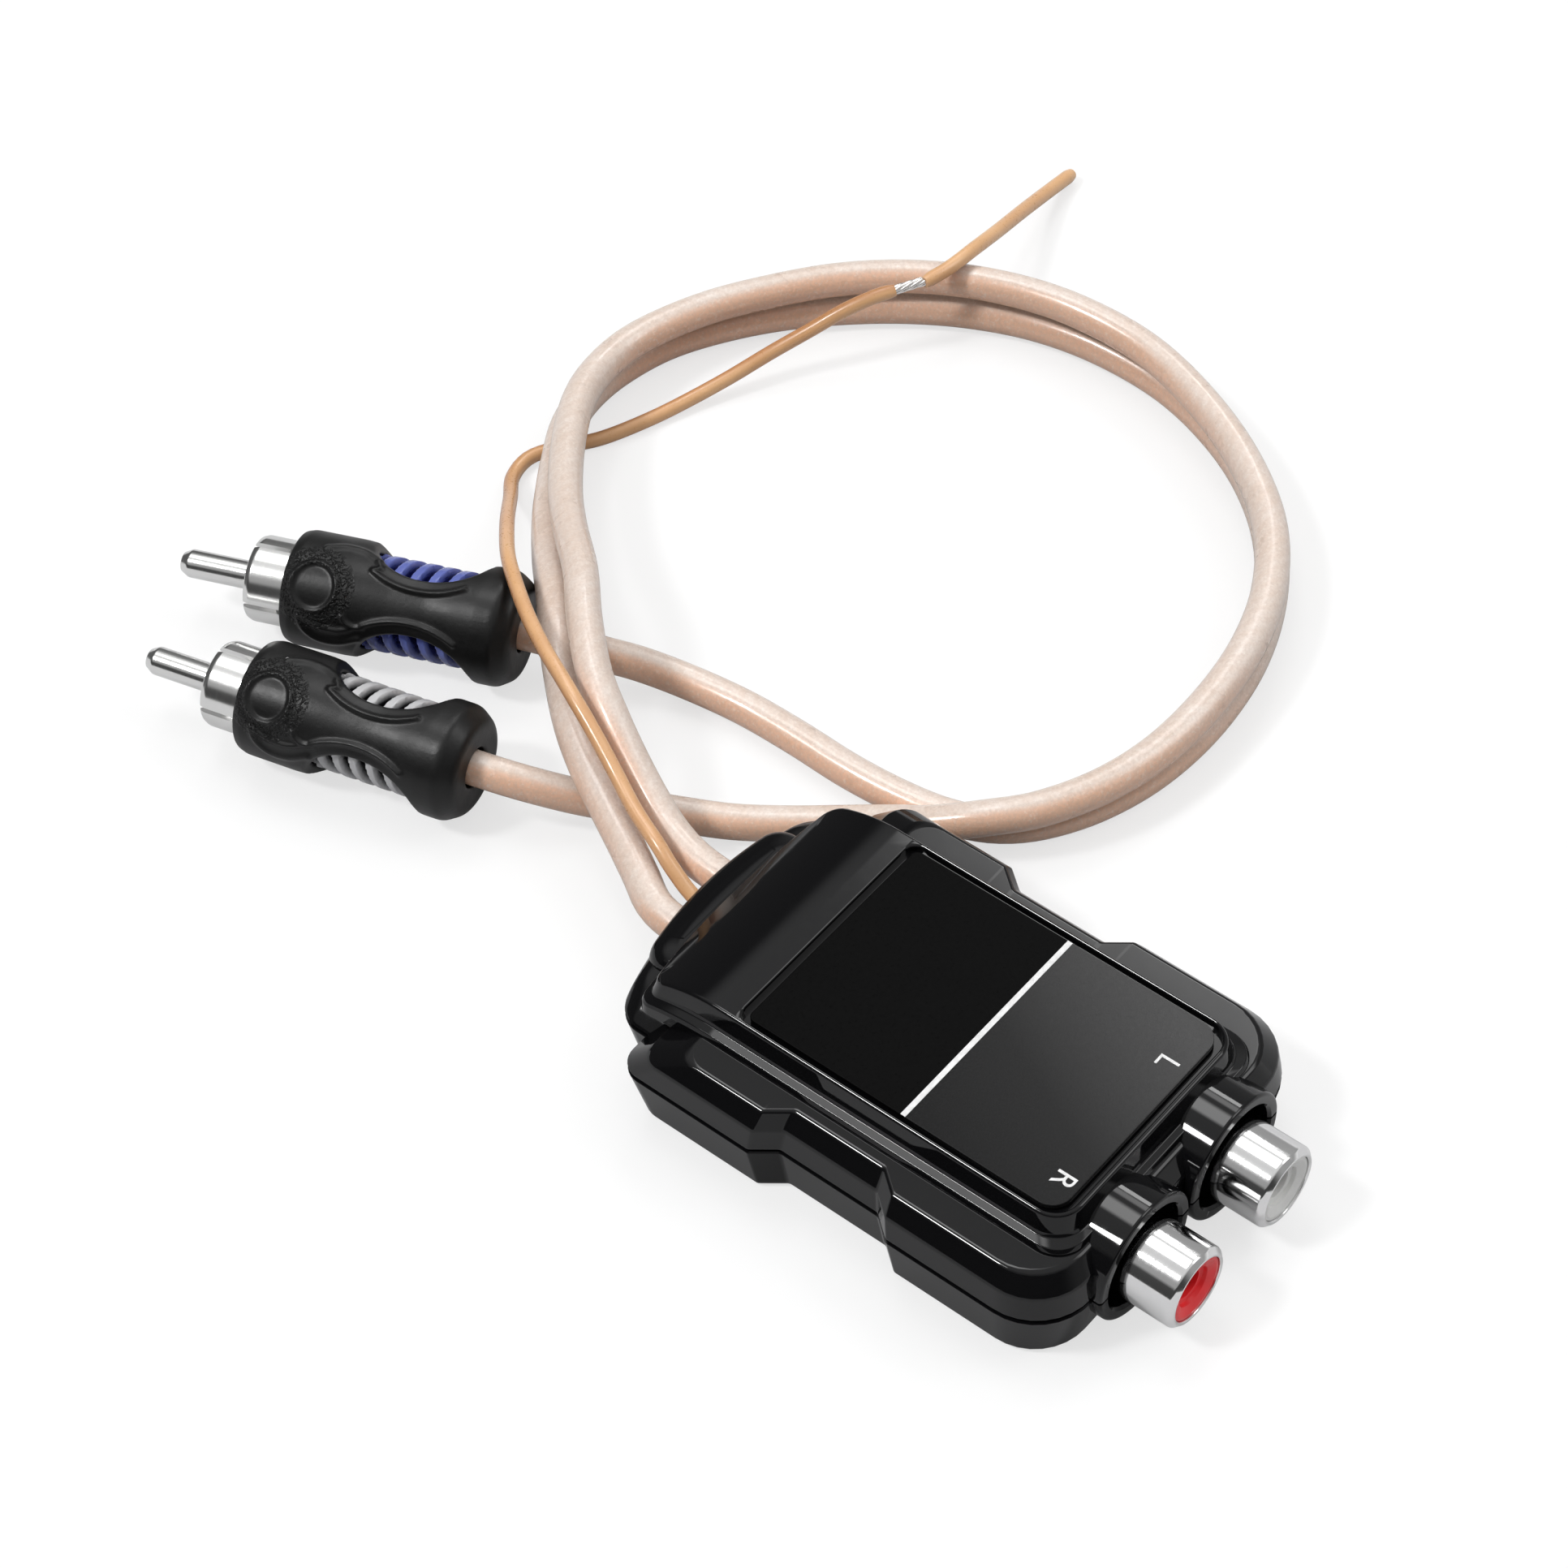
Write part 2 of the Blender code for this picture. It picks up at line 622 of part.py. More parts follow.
def lower_shell(build, openings):
    seam = PARTING_Z - GAP / 2
    body = loft(
        "lower_shell",
        [
            wing_ring(0.0, BASE_INSET + BASE_ROUND, BASE_INSET + BASE_ROUND),
            wing_ring(BASE_ROUND * 0.3, BASE_INSET + BASE_ROUND * 0.3, BASE_INSET + BASE_ROUND * 0.3),
            wing_ring(BASE_ROUND, BASE_INSET * 0.9, BASE_INSET * 0.9),
            wing_ring(seam - GROOVE, 0.0, 0.0),
            wing_ring(seam + 0.0004, GROOVE * 2, GROOVE * 2),
        ],
    )
    nose = loft(
        "lower_nose",
        [
            nose_ring(0.0, BASE_INSET + BASE_ROUND, BASE_INSET + BASE_ROUND),
            nose_ring(BASE_ROUND * 0.3, BASE_INSET + BASE_ROUND * 0.3, BASE_INSET + BASE_ROUND * 0.3),
            nose_ring(BASE_ROUND, BASE_INSET * 0.9, BASE_INSET * 0.9),
            nose_ring(seam - GROOVE, 0.0, 0.0),
            nose_ring(seam + 0.0004, GROOVE * 2, GROOVE * 2),
        ],
    )
    build.add(body, housing_plastic("lower shell plastic"))
    join(body, "UNION", [build.tool(nose)] + hoods(build, "lower"))
    above = box("lower_trim", (-0.05, 0.05), (-0.05, 0.05), (seam, 0.03))
    room = loft("lower_chamber", chamber_rings((FLOOR, BASE_INSET), (seam + 0.001, 0.0)))
    join(body, "DIFFERENCE", [build.tool(above), build.tool(room)])
    join(body, "DIFFERENCE", openings)
    solid, holes = [], []
    for name, x, y in screw_places():
        neck = SCREW_SUNK + SCREW_HEAD_THICK + GAP
        boss = rod(f"boss_{name}", BOSS_RADIUS, (x, y, FLOOR / 2), (x, y, seam), 16)
        hole = rod(f"screw_hole_{name}", SCREW_SHANK + GAP, (x, y, -0.001), (x, y, HEIGHT), 12)
        sink = rod(f"screw_sink_{name}", SCREW_HEAD + GAP, (x, y, -0.001), (x, y, neck), 16)
        solid.append(build.tool(boss))
        holes += [build.tool(hole), build.tool(sink)]
    for name, y in (("front", -BOARD_FRONT + 0.002), ("rear", BOARD_REAR - 0.002)):
        rib = box(
            f"board_rib_{name}",
            (-BOARD_HALF + 0.002, BOARD_HALF - 0.002),
            (y - RIB_WIDTH / 2, y + RIB_WIDTH / 2),
            (FLOOR / 2, FLOOR + BOARD_RISE),
        )
        solid.append(build.tool(rib))
    join(body, "UNION", solid)
    join(body, "DIFFERENCE", holes)
    return body


def label_plate(build):
    top = HEIGHT - LABEL_SUNK
    plate = outline_curve(
        "label_plate", rounded(LABEL_HALF, LABEL_LENGTH / 2, LABEL_CORNER), top - LABEL_THICK, top
    )
    build.add(plate, material("label face", (0.020, 0.020, 0.022), 0.35))


def screws(build):
    for name, x, y in screw_places():
        low = SCREW_SUNK
        neck = low + SCREW_HEAD_THICK
        screw = turned(
            f"screw_{name}",
            [
                (0, SCREW_TOP),
                (SCREW_SHANK * 0.5, SCREW_TOP),
                (SCREW_SHANK, SCREW_TOP - 0.0008),
                (SCREW_SHANK, neck),
                (SCREW_HEAD, neck),
                (SCREW_HEAD, low + 0.0003),
                (SCREW_HEAD - 0.0004, low),
                (0, low),
            ],
            12,
        )
        screw.location = (x, y, 0)
        build.add(screw, material("screw steel", (0.55, 0.55, 0.55), 0.3, 1.0))


def jack(build, side, x, tint):
    face = build.empty(
        f"jack_{side}_frame",
        Matrix.Translation((x, -JACK_FACE, PARTING_Z)) @ Matrix.Rotation(pi / 2, 4, "X"),
        build.root,
    )
    shoulder = BULKHEAD_FRONT - JACK_FACE + GAP
    end = shoulder - SHANK_LENGTH
    sleeve = turned(
        f"jack_sleeve_{side}",
        [
            (BARREL_BORE + 0.0002, 0),
            (BARREL_RADIUS - BARREL_LIP * 0.55, 0),
            (BARREL_RADIUS - BARREL_LIP * 0.15, -BARREL_LIP * 0.35),
            (BARREL_RADIUS, -BARREL_LIP),
            (BARREL_RADIUS, shoulder),
            (SHANK_RADIUS, shoulder),
            (SHANK_RADIUS, end),
            (SOCKET_RADIUS + 0.0005, end),
            (SOCKET_RADIUS + 0.0005, shoulder + 0.0006),
            (BARREL_BORE, shoulder + 0.0012),
            (BARREL_BORE, -0.0002),
        ],
        32,
        ring=True,
    )
    build.add(sleeve, nickel("jack sleeve nickel"), face)
    back = shoulder + 0.0012 + GAP
    insulator = turned(
        f"jack_insulator_{side}",
        [
            (SOCKET_RADIUS + GAP, -0.0009),
            (BARREL_BORE - GAP - 0.0004, -0.0004),
            (BARREL_BORE - GAP, -0.0006),
            (BARREL_BORE - GAP, back),
            (SOCKET_RADIUS + GAP, back),
        ],
        20,
        ring=True,
    )
    build.add(insulator, tint, face)
    mouth = -0.0012
    bottom = mouth - SOCKET_DEPTH
    contact = turned(
        f"jack_contact_{side}",
        [
            (SOCKET_BORE, mouth),
            (SOCKET_RADIUS, mouth),
            (SOCKET_RADIUS, end - 0.0004),
            (TAIL_RADIUS, end - 0.0004),
            (TAIL_RADIUS, end - SOCKET_TAIL),
            (0, end - SOCKET_TAIL),
            (0, bottom),
            (SOCKET_BORE, bottom + 0.0003),
        ],
        16,
        ring=True,
    )
    build.add(contact, nickel("jack contact"), face)
    wall = BULKHEAD_FRONT - JACK_FACE - BULKHEAD_THICK - GAP
    washer = turned(
        f"jack_earth_tag_{side}",
        [
            (SHANK_RADIUS + GAP, wall),
            (TAG_RADIUS, wall),
            (TAG_RADIUS, wall - TAG_THICK),
            (SHANK_RADIUS + GAP, wall - TAG_THICK),
        ],
        16,
        ring=True,
    )
    build.add(washer, nickel("earth tag"), face)
    leg = box(
        f"tag_leg_{side}",
        (-TAG_WIDTH / 2, TAG_WIDTH / 2),
        (-TAG_RADIUS + 0.0008, -SHANK_RADIUS - GAP - 0.0003),
        (wall - TAG_LEG, wall - TAG_THICK / 2),
    )
    join(washer, "UNION", [build.tool(leg, face)])


def board(build):
    low = FLOOR + BOARD_RISE + GAP
    plate = box(
        "circuit_board", (-BOARD_HALF, BOARD_HALF), (-BOARD_FRONT, BOARD_REAR), (low, low + BOARD_THICK)
    )
    build.add(plate, material("board laminate", (0.05, 0.22, 0.08), 0.5))
    return low + BOARD_THICK


def transformer(build, side, x, deck):
    """Laminated core standing on the board, with the bobbin round its middle limb."""
    low = deck + GAP
    high = CHAMBER_TOP - CORE_CLEAR
    front, rear = CORE_Y - CORE_STACK / 2, CORE_Y + CORE_STACK / 2
    wide = CORE_WIDTH / 2
    core = box(f"transformer_core_{side}", (x - wide, x + wide), (front, rear), (low, high))
    build.add(core, material("core laminations", (0.30, 0.29, 0.28), 0.45, 0.8))
    floor, roof = low + CORE_YOKE, high - CORE_YOKE
    inner, outer = CORE_LIMB / 2, CORE_WIDTH / 2 - CORE_YOKE
    for name, span in (("a", (x + inner, x + outer)), ("b", (x - outer, x - inner))):
        window = box(f"core_window_{side}_{name}", span, (front - 0.001, rear + 0.001), (floor, roof))
        join(core, "DIFFERENCE", [build.tool(window)])
    floor, roof = floor + GAP, roof - GAP
    reach = outer - GAP
    tube_x = inner + GAP + BOBBIN_WALL
    tube_y = CORE_STACK / 2 + GAP + BOBBIN_WALL
    bobbin = box(
        f"transformer_bobbin_{side}",
        (x - tube_x, x + tube_x),
        (CORE_Y - tube_y, CORE_Y + tube_y),
        (floor, roof),
    )
    build.add(bobbin, material("bobbin nylon", (0.75, 0.72, 0.62), 0.5))
    flanges = []
    for name, span in (("low", (floor, floor + BOBBIN_WALL)), ("high", (roof - BOBBIN_WALL, roof))):
        flange = box(
            f"bobbin_flange_{side}_{name}",
            (x - reach, x + reach),
            (CORE_Y - BOBBIN_REACH, CORE_Y + BOBBIN_REACH),
            span,
        )
        flanges.append(build.tool(flange))
    join(bobbin, "UNION", flanges)
    limb_y = CORE_STACK / 2 + GAP
    bore = box(
        f"bobbin_bore_{side}",
        (x - inner - GAP, x + inner + GAP),
        (CORE_Y - limb_y, CORE_Y + limb_y),
        (floor - 0.001, roof + 0.001),
    )
    join(bobbin, "DIFFERENCE", [build.tool(bore)])
    low_coil, high_coil = floor + BOBBIN_WALL + GAP, roof - BOBBIN_WALL - GAP
    coil_y = BOBBIN_REACH - GAP
    coil = box(
        f"transformer_winding_{side}",
        (x - reach, x + reach),
        (CORE_Y - coil_y, CORE_Y + coil_y),
        (low_coil, high_coil),
    )
    build.add(coil, material("winding copper", (0.62, 0.26, 0.10), 0.35, 0.7))
    hollow = box(
        f"winding_hollow_{side}",
        (x - tube_x - GAP, x + tube_x + GAP),
        (CORE_Y - tube_y - GAP, CORE_Y + tube_y + GAP),
        (low_coil - 0.001, high_coil + 0.001),
    )
    join(coil, "DIFFERENCE", [build.tool(hollow)])


def grommet(build):
    block = box(
        "cable_grommet",
        (-GROMMET_HALF, GROMMET_HALF),
        (GROMMET_FRONT, GROMMET_FRONT + GROMMET_LENGTH),
        (PARTING_Z - GROMMET_HIGH, PARTING_Z + GROMMET_HIGH),
    )
    build.add(block, material("grommet rubber", (0.02, 0.02, 0.02), 0.7))
    holes = []
    for name, x, radius in cord_places():
        hole = rod(
            f"grommet_hole_{name}",
            radius + GAP,
            (x, GROMMET_FRONT - 0.001, PARTING_Z),
            (x, GROMMET_FRONT + GROMMET_LENGTH + 0.001, PARTING_Z),
            12,
        )
        holes.append(build.tool(hole))
    join(block, "DIFFERENCE", holes)


def plug_frame(build, name, place):
    """An empty at the boot's front face: Z runs to the pin, Y to the strap that faces up."""
    x, y, turn = place
    along = Vector((-sin(radians(turn)), cos(radians(turn)), 0))
    view = Vector((-0.485, -0.427, 0.763))
    up = (view - along * view.dot(along)).normalized()
    side = up.cross(along)
    turn = Matrix((side, up, along)).transposed().to_4x4()
    return build.empty(f"{name}_frame", Matrix.Translation((x, y, PLUG_AXIS_Z)) @ turn, build.root)


def boot_profile():
    r, end = BOOT_RADIUS, -BOOT_LENGTH
    bore = RIB_RADIUS + GAP
    mouth = SHELL_RADIUS + GAP
    exit_hole = CABLE_RADIUS + GAP
    return [
        (r - BOOT_LIP, 0),
        (r - BOOT_LIP * 0.2, -BOOT_LIP * 0.6),
        (r, -BOOT_LIP * 2.2),
        (r, -0.0060),
        (r - 0.0001, -0.0110),
        (r - 0.0001, -0.0170),
        (r, -0.0200),
        (r + 0.0001, end + 0.0030),
        (r - 0.0001, end + 0.0016),
        (r - 0.0007, end + 0.0006),
        (r - 0.0017, end),
        (exit_hole, end),
        (exit_hole, -COVER_END - GAP),
        (bore, -COVER_END - GAP),
        (bore, -COVER_START + GAP),
        (mouth, -COVER_START + GAP),
        (mouth, 0),
    ]


def cover_profile():
    """Ribbed inner sleeve seen through the boot's windows."""
    outer = [(COVER_RADIUS, -COVER_START)]
    start = -WINDOW_MID + RIB_PITCH * (RIB_COUNT - 1) / 2
    for i in range(RIB_COUNT):
        middle = start - i * RIB_PITCH
        outer += [
            (COVER_RADIUS, middle + RIB_PITCH * 0.36),
            (RIB_RADIUS, middle + RIB_PITCH * 0.20),
            (RIB_RADIUS, middle - RIB_PITCH * 0.20),
            (COVER_RADIUS, middle - RIB_PITCH * 0.36),
        ]
    outer.append((COVER_RADIUS, -COVER_END))
    bore = CABLE_RADIUS + GAP
    return outer + [(bore, -COVER_END), (bore, -COVER_START)]


def plug(build, name, place, tint):
    frame = plug_frame(build, name, place)
    boot = turned(f"{name}_boot", boot_profile(), 28, ring=True)
    build.add(boot, material("boot rubber", (0.018, 0.018, 0.018), 0.6), frame)
    windows = []
    for side, x in (("a", WINDOW_OUT), ("b", -WINDOW_OUT)):
        window = rod(f"{name}_window_{side}", WINDOW_LONG, (0, -0.010, 0), (0, 0.010, 0), 32)
        window.data.transform(Matrix.Scale(WINDOW_WIDE / WINDOW_LONG, 4, (1, 0, 0)))
        window.location = (x, 0, -WINDOW_MID)
        windows.append(build.tool(window, frame))
    join(boot, "DIFFERENCE", windows)
    cover = turned(f"{name}_inner_sleeve", cover_profile(), 16, ring=True)
    build.add(cover, tint, frame)
    inside = SHELL_RADIUS - SHELL_WALL
    shell = turned(
        f"{name}_shell",
        [
            (inside, SHELL_OUT),
            (SHELL_RADIUS - 0.0002, SHELL_OUT),
            (SHELL_RADIUS, SHELL_OUT - 0.0003),
            (SHELL_RADIUS, -SHELL_IN),
            (inside, -SHELL_IN),
        ],
        24,
        ring=True,
    )
    build.add(shell, nickel("plug shell nickel"), frame)
    for side, across, along in (("a", SLOT_WIDTH / 2, 0.01), ("b", 0.01, SLOT_WIDTH / 2)):
        slot = box(
            f"{name}_slot_{side}",
            (-across, across),
            (-along, along),
            (SHELL_OUT - SLOT_DEPTH, SHELL_OUT + 0.001),
        )
        slot.data.transform(Matrix.Rotation(radians(SLOT_TURN), 4, "Z"))
        join(shell, "DIFFERENCE", [build.tool(slot, frame)])
    core = turned(
        f"{name}_insulator",
        [
            (PIN_RADIUS + GAP, CORE_FACE),
            (inside - GAP, CORE_FACE),
            (inside - GAP, -CORE_BACK),
            (PIN_RADIUS + GAP, -CORE_BACK),
        ],
        16,
        ring=True,
    )
    build.add(core, material("plug insulator", (0.85, 0.85, 0.83), 0.4), frame)
    pin = turned(
        f"{name}_pin",
        [
            (0, PIN_TIP),
            (PIN_RADIUS * 0.6, PIN_TIP),
            (PIN_RADIUS * 0.9, PIN_TIP - PIN_TAPER * 0.5),
            (PIN_RADIUS, PIN_TIP - PIN_TAPER),
            (PIN_RADIUS, -PIN_BACK),
            (0, -PIN_BACK),
        ],
        16,
    )
    build.add(pin, nickel("plug pin nickel"), frame)


def smooth_route(points, spacing):
    """Evenly spaced points on a smooth curve through the route, in metres."""
    route = [Vector(point) * 0.001 for point in points]
    if len(route) == 2:
        return route
    ends = [route[0] * 2 - route[1]] + route + [route[-1] * 2 - route[-2]]
    dense = []
    for i in range(1, len(ends) - 2):
        a, b, c, d = ends[i - 1 : i + 3]
        steps = 12
        for k in range(steps):
            t = k / steps
            bend = (2 * a - 5 * b + 4 * c - d) * t**2 + (3 * b - a - 3 * c + d) * t**3
            dense.append(0.5 * (2 * b + (c - a) * t + bend))
    dense.append(route[-1])
    total = sum((dense[i + 1] - dense[i]).length for i in range(len(dense) - 1))
    count = max(3, round(total / spacing))
    even, walked, target = [dense[0]], 0.0, total / count
    for here, ahead in zip(dense, dense[1:]):
        run = (ahead - here).length
        while walked + run >= target - 1e-9 and len(even) < count:
            even.append(here.lerp(ahead, (target - walked) / run))
            target += total / count
        walked += run
    even.append(dense[-1])
    return even


def cord(build, name, route, radius, spacing, paint, fine=2):
    curve = bpy.data.curves.new(name, "CURVE")
    curve.dimensions = "3D"
    curve.bevel_depth = radius
    curve.bevel_resolution = fine
    curve.use_fill_caps = True
    line = curve.splines.new("POLY")
    points = smooth_route(route, spacing)
    line.points.add(len(points) - 1)
    for spot, point in zip(line.points, points):
        spot.co = (*point, 1)
    line.use_smooth = True
    build.add(bpy.data.objects.new(name, curve), paint)


def cords(build):
    jacket = material("cable jacket", (0.62, 0.45, 0.38), 0.35)
    cord(build, "signal_cable_left", ROUTE_LEFT, CABLE_RADIUS, 0.0062, jacket)
    cord(build, "signal_cable_right", ROUTE_RIGHT, CABLE_RADIUS, 0.0062, jacket)
    copper = material("earth wire jacket", (0.68, 0.36, 0.13), 0.4)
    cord(build, "earth_wire", ROUTE_EARTH, WIRE_RADIUS, 0.0036, copper)
    cord(build, "earth_wire_slug", ROUTE_SLUG, WIRE_RADIUS, 0.0040, copper)
    bare = material("bare strands", (0.80, 0.76, 0.72), 0.3, 1.0)
    cord(build, "earth_wire_strands", ROUTE_STRANDS, STRAND_RADIUS, 0.0020, bare)


def main():
    clear_scene()
    build = Build()
    openings = shared_openings(build)
    upper_shell(build, openings)
    lower_shell(build, openings)
    label_plate(build)
    screws(build)
    red = material("jack insert red", (0.60, 0.02, 0.02), 0.35)
    white = material("jack insert white", (0.85, 0.85, 0.83), 0.35)
    for (side, x), tint in zip(mirrored_x(JACK_PITCH / 2), (red, white)):
        jack(build, side, x, tint)
    deck = board(build)
    for side, x in mirrored_x(CORE_PITCH / 2):
        transformer(build, side, x, deck)
    grommet(build)
    plug(build, "blue_plug", BLUE_PLUG, material("blue sleeve", (0.05, 0.06, 0.35), 0.25))
    plug(build, "clear_plug", CLEAR_PLUG, material("clear sleeve", (0.45, 0.45, 0.47), 0.2))
    cords(build)


main()
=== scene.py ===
"""Ground loop isolator: the looks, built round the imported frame.

The shapes and the cords' routes are in millimetres, as seen from the middle of the label with
the floor at z = 0, and place() or smooth_route() puts them into the frame's metres.
"""

from math import cos, pi, radians, sin, tan

import bmesh
import bpy
import numpy as np
from mathutils import Matrix, Vector


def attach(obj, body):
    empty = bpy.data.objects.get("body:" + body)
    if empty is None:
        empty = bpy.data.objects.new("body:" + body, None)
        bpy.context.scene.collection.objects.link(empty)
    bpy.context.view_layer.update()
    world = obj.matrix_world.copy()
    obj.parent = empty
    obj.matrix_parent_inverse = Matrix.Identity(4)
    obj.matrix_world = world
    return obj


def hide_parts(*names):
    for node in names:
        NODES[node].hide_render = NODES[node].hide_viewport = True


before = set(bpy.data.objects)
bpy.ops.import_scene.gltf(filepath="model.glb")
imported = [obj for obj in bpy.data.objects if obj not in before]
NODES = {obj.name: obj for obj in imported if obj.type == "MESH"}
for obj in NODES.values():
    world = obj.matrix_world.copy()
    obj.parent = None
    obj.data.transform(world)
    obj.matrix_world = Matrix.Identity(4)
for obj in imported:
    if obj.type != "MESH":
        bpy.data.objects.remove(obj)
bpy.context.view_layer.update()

MM = 0.001
SHIFT_Y = -0.002475
TO_FRAME = Matrix.Translation((0, SHIFT_Y, 0)) @ Matrix.Scale(MM, 4)

# Housing sizes, as in the part's source
HEIGHT = 15.2
DECK = 11.9
AXIS = 6.9
GAP = 0.3
SEAM_UP = AXIS + GAP / 2
SEAM_LOW = AXIS - GAP / 2
WING_HALF = 20.2
WING_FRONT = -22.9
WING_REAR = 28.2
WAIST_DEPTH = 1.85
WAIST_BENDS = (-3.6, -1.2, 9.25, 11.65)
WAIST_SPREAD = 0.12
ROOM_FRONT = -17.9
ROOM_WALL = 1.8
ROOM_REAR = 2.8
PLATEAU_HALF = 13.7
PLATEAU_FRONT = -19.4
PLATEAU_REAR = 30.4
PLATEAU_BEND = 20.6
PLATEAU_DROP = 3.4
NOSE_HALF = 15.7
NOSE_REAR = 34.8
CREST_HALF = 10.6
SCREW_X = 15.6
SCREW_Y = (-13.5, 20.0)

# Jacks and label
JACK_X = 7.0
JACK_FACE = -29.85
HOOD_FRONT = -23.9
HOOD_RADIUS = 6.85
HOOD_BORE = 5.45
HOOD_DEPTH = 5.5
BORE_DEPTH = 4.0
SHANK_HOLE = 3.7
BULKHEAD = -19.9
LABEL_TOP = 15.1
LABEL_HALF = 12.75
LABEL_END = 18.05
LABEL_SPLIT = -0.4
RECESS_HALF = 13.25
RECESS_END = 18.85
MARKS = (("left", "L", 6.9, -15.8), ("right", "R", -9.4, -16.2))
MARK_SIZE = 3.1

# Cords, with their lengths in metres
CORD_X = 3.6
CABLE_RADIUS = 1.85
WIRE_RADIUS = 0.8
WIRE_RIM = 0.15
STRANDS_RADIUS = 0.55
STRANDS_TURNS = 0.7
LENGTH_LEFT = 0.3064
LENGTH_RIGHT = 0.3122

# Plugs, from the boot's front face
BOOT_HOLE = 2.15
WINDOW_MID = 14.2
WINDOW_OUT = 7.5
WINDOW_LONG = 6.9
WINDOW_DEEP = 4.6
LIP_LONG = 8.1
LIP_DEEP = 5.85
LINE_WIDTH = 0.26
RING_AT = 3.6
RING_RADIUS = 2.45
SLEEVE_START = 7.95
SLEEVE_END = 22.2
SLEEVE_STEP = 0.14
COLLAR_END = 8.6
COLLAR_RADIUS = 4.75
RIB_ROOT = 3.55
RIB_HEIGHT = 1.45
RIB_PITCH = 1.95
RIB_WIDE = 1.15
RIB_EDGE = 0.32
RIB_LEAN = 1.1

# Where each plug's boot begins, in metres, and its turn in degrees
PLUG_AXIS_Z = 0.0062
BLUE_PLUG = (0.00716, 0.09511, 22.2)
CLEAR_PLUG = (-0.00635, 0.08789, 14.4)
STRAP_VIEW = (-0.485, -0.427, 0.763)

CAMERA_SPOT = (-0.205922, -0.160661, 0.357206)
CAMERA_TURN = (0.845762, 0.316960, -0.133750, -0.407841)
CAMERA_LENS = 106.213

ROUTE_LEFT = (
    (3.6, 23, 6.9), (3.6, 31, 6.9), (3.6, 35.4, 6.9), (4, 39.2, 6.9), (5.1, 43, 7.1), (6.6, 46.8, 8),
    (8.2, 50.6, 9.5), (10, 54.4, 11.2), (12.7, 58.9, 12.5), (17.3, 64.1, 13.1), (22.4, 69.1, 12.5),
    (27.6, 75.2, 10.8), (32.1, 79.8, 9.6), (38, 84.6, 8.6), (44.3, 88.6, 7.7), (50.1, 90.5, 6.9),
    (56.2, 90.6, 6.4), (63.4, 88.4, 6.1), (69.6, 84.9, 6), (76.6, 79.5, 6), (82.2, 73, 6), (86.3, 65.3, 6),
    (88.6, 56.4, 6), (88.5, 46.2, 6), (85.5, 36.3, 6), (80.9, 27.5, 6), (75.1, 20.4, 6), (68.1, 15.5, 6),
    (60.4, 12.6, 6), (52, 11.3, 6), (43.6, 11.4, 6), (36.3, 13.1, 6), (30.1, 16.2, 6), (26.1, 19.8, 5.8),
    (23.2, 24.3, 4.4), (21.6, 28.4, 3), (19.1, 32.6, 2.2), (15.9, 37, 1.95), (12.7, 41.6, 1.95),
    (9.9, 46.4, 2.3), (7.2, 50.6, 3.1), (4.3, 54.9, 4.2), (1.6, 59.3, 5.6), (-0.2, 63.9, 6.2),
    (-1.75, 70, 6.2), (-4, 78.75, 6.2),
)
ROUTE_RIGHT = (
    (-3.6, 23, 6.9), (-3.6, 31, 6.9), (-3.6, 35.4, 6.9), (-2.9, 38.4, 6.9), (-1.2, 41.3, 7),
    (0.9, 45.1, 7.2), (3.1, 49.4, 7.7), (5.4, 53.9, 8.4), (8.3, 58.4, 9.1), (12, 62.8, 9.7),
    (15.4, 66.4, 10.2), (20.2, 71.1, 9.4), (25, 76, 7.4), (30.4, 80.9, 5.8), (35.2, 84.6, 4.6),
    (39, 87.2, 4.1), (43.4, 89.8, 3.8), (48.6, 91.6, 2.9), (54.4, 92.1, 2.1), (60.9, 90.7, 1.9),
    (67, 87.4, 1.9), (72.6, 83.1, 1.9), (77.5, 78.1, 1.9), (81.7, 72.7, 1.9), (85.2, 66.7, 1.9),
    (87.8, 59.9, 1.9), (89, 52.2, 1.9), (88.6, 43.5, 1.9), (86.2, 35.3, 1.9), (82.2, 27.7, 1.9),
    (76.5, 21.1, 1.9), (69.3, 16.2, 1.9), (61.3, 13, 1.9), (52.4, 11.6, 1.9), (44.2, 12, 1.9),
    (37.3, 13.9, 1.9), (31.9, 16.9, 1.9), (28.5, 20.4, 1.9), (26.5, 24.8, 1.9), (25.5, 30, 1.9),
    (25.1, 36.5, 1.9), (25.3, 43.5, 1.9), (25.2, 50.3, 1.9), (24.2, 56.7, 2.2), (22.5, 61.7, 3.1),
    (20.5, 65.3, 4.1), (18.5, 68.5, 5.3), (16.5, 72.1, 6.2), (14.2, 77.8, 6.2), (10.8, 86.2, 6.2),
)
ROUTE_EARTH = (
    (0, 24, 6.9), (0, 31, 6.9), (0, 35.3, 6.9), (0.4, 38.5, 8.7), (1.2, 41, 9.8), (2.8, 45.2, 10.4),
    (4.8, 49.5, 11.4), (6.5, 53.6, 12.9), (7.8, 56.9, 13.9), (9.2, 60.1, 14.3), (11, 63.9, 14.3),
    (13.4, 68.1, 14), (16.4, 72.5, 13.5), (20, 76.9, 11.9), (25.9, 82.6, 8), (32.1, 88.1, 3.1),
    (35.9, 91.3, 1.1), (39.3, 92, 0.8), (42.5, 90.4, 0.8), (46.3, 87.7, 0.8), (51.5, 85.4, 0.9),
    (56.2, 83.6, 1.3), (60.8, 81.6, 2.3), (65.2, 79.4, 3.9), (69.1, 76.8, 5.9), (72.1, 74.7, 7.6),
    (74.7, 72.7, 8.8), (76.7, 71.2, 9.2),
)
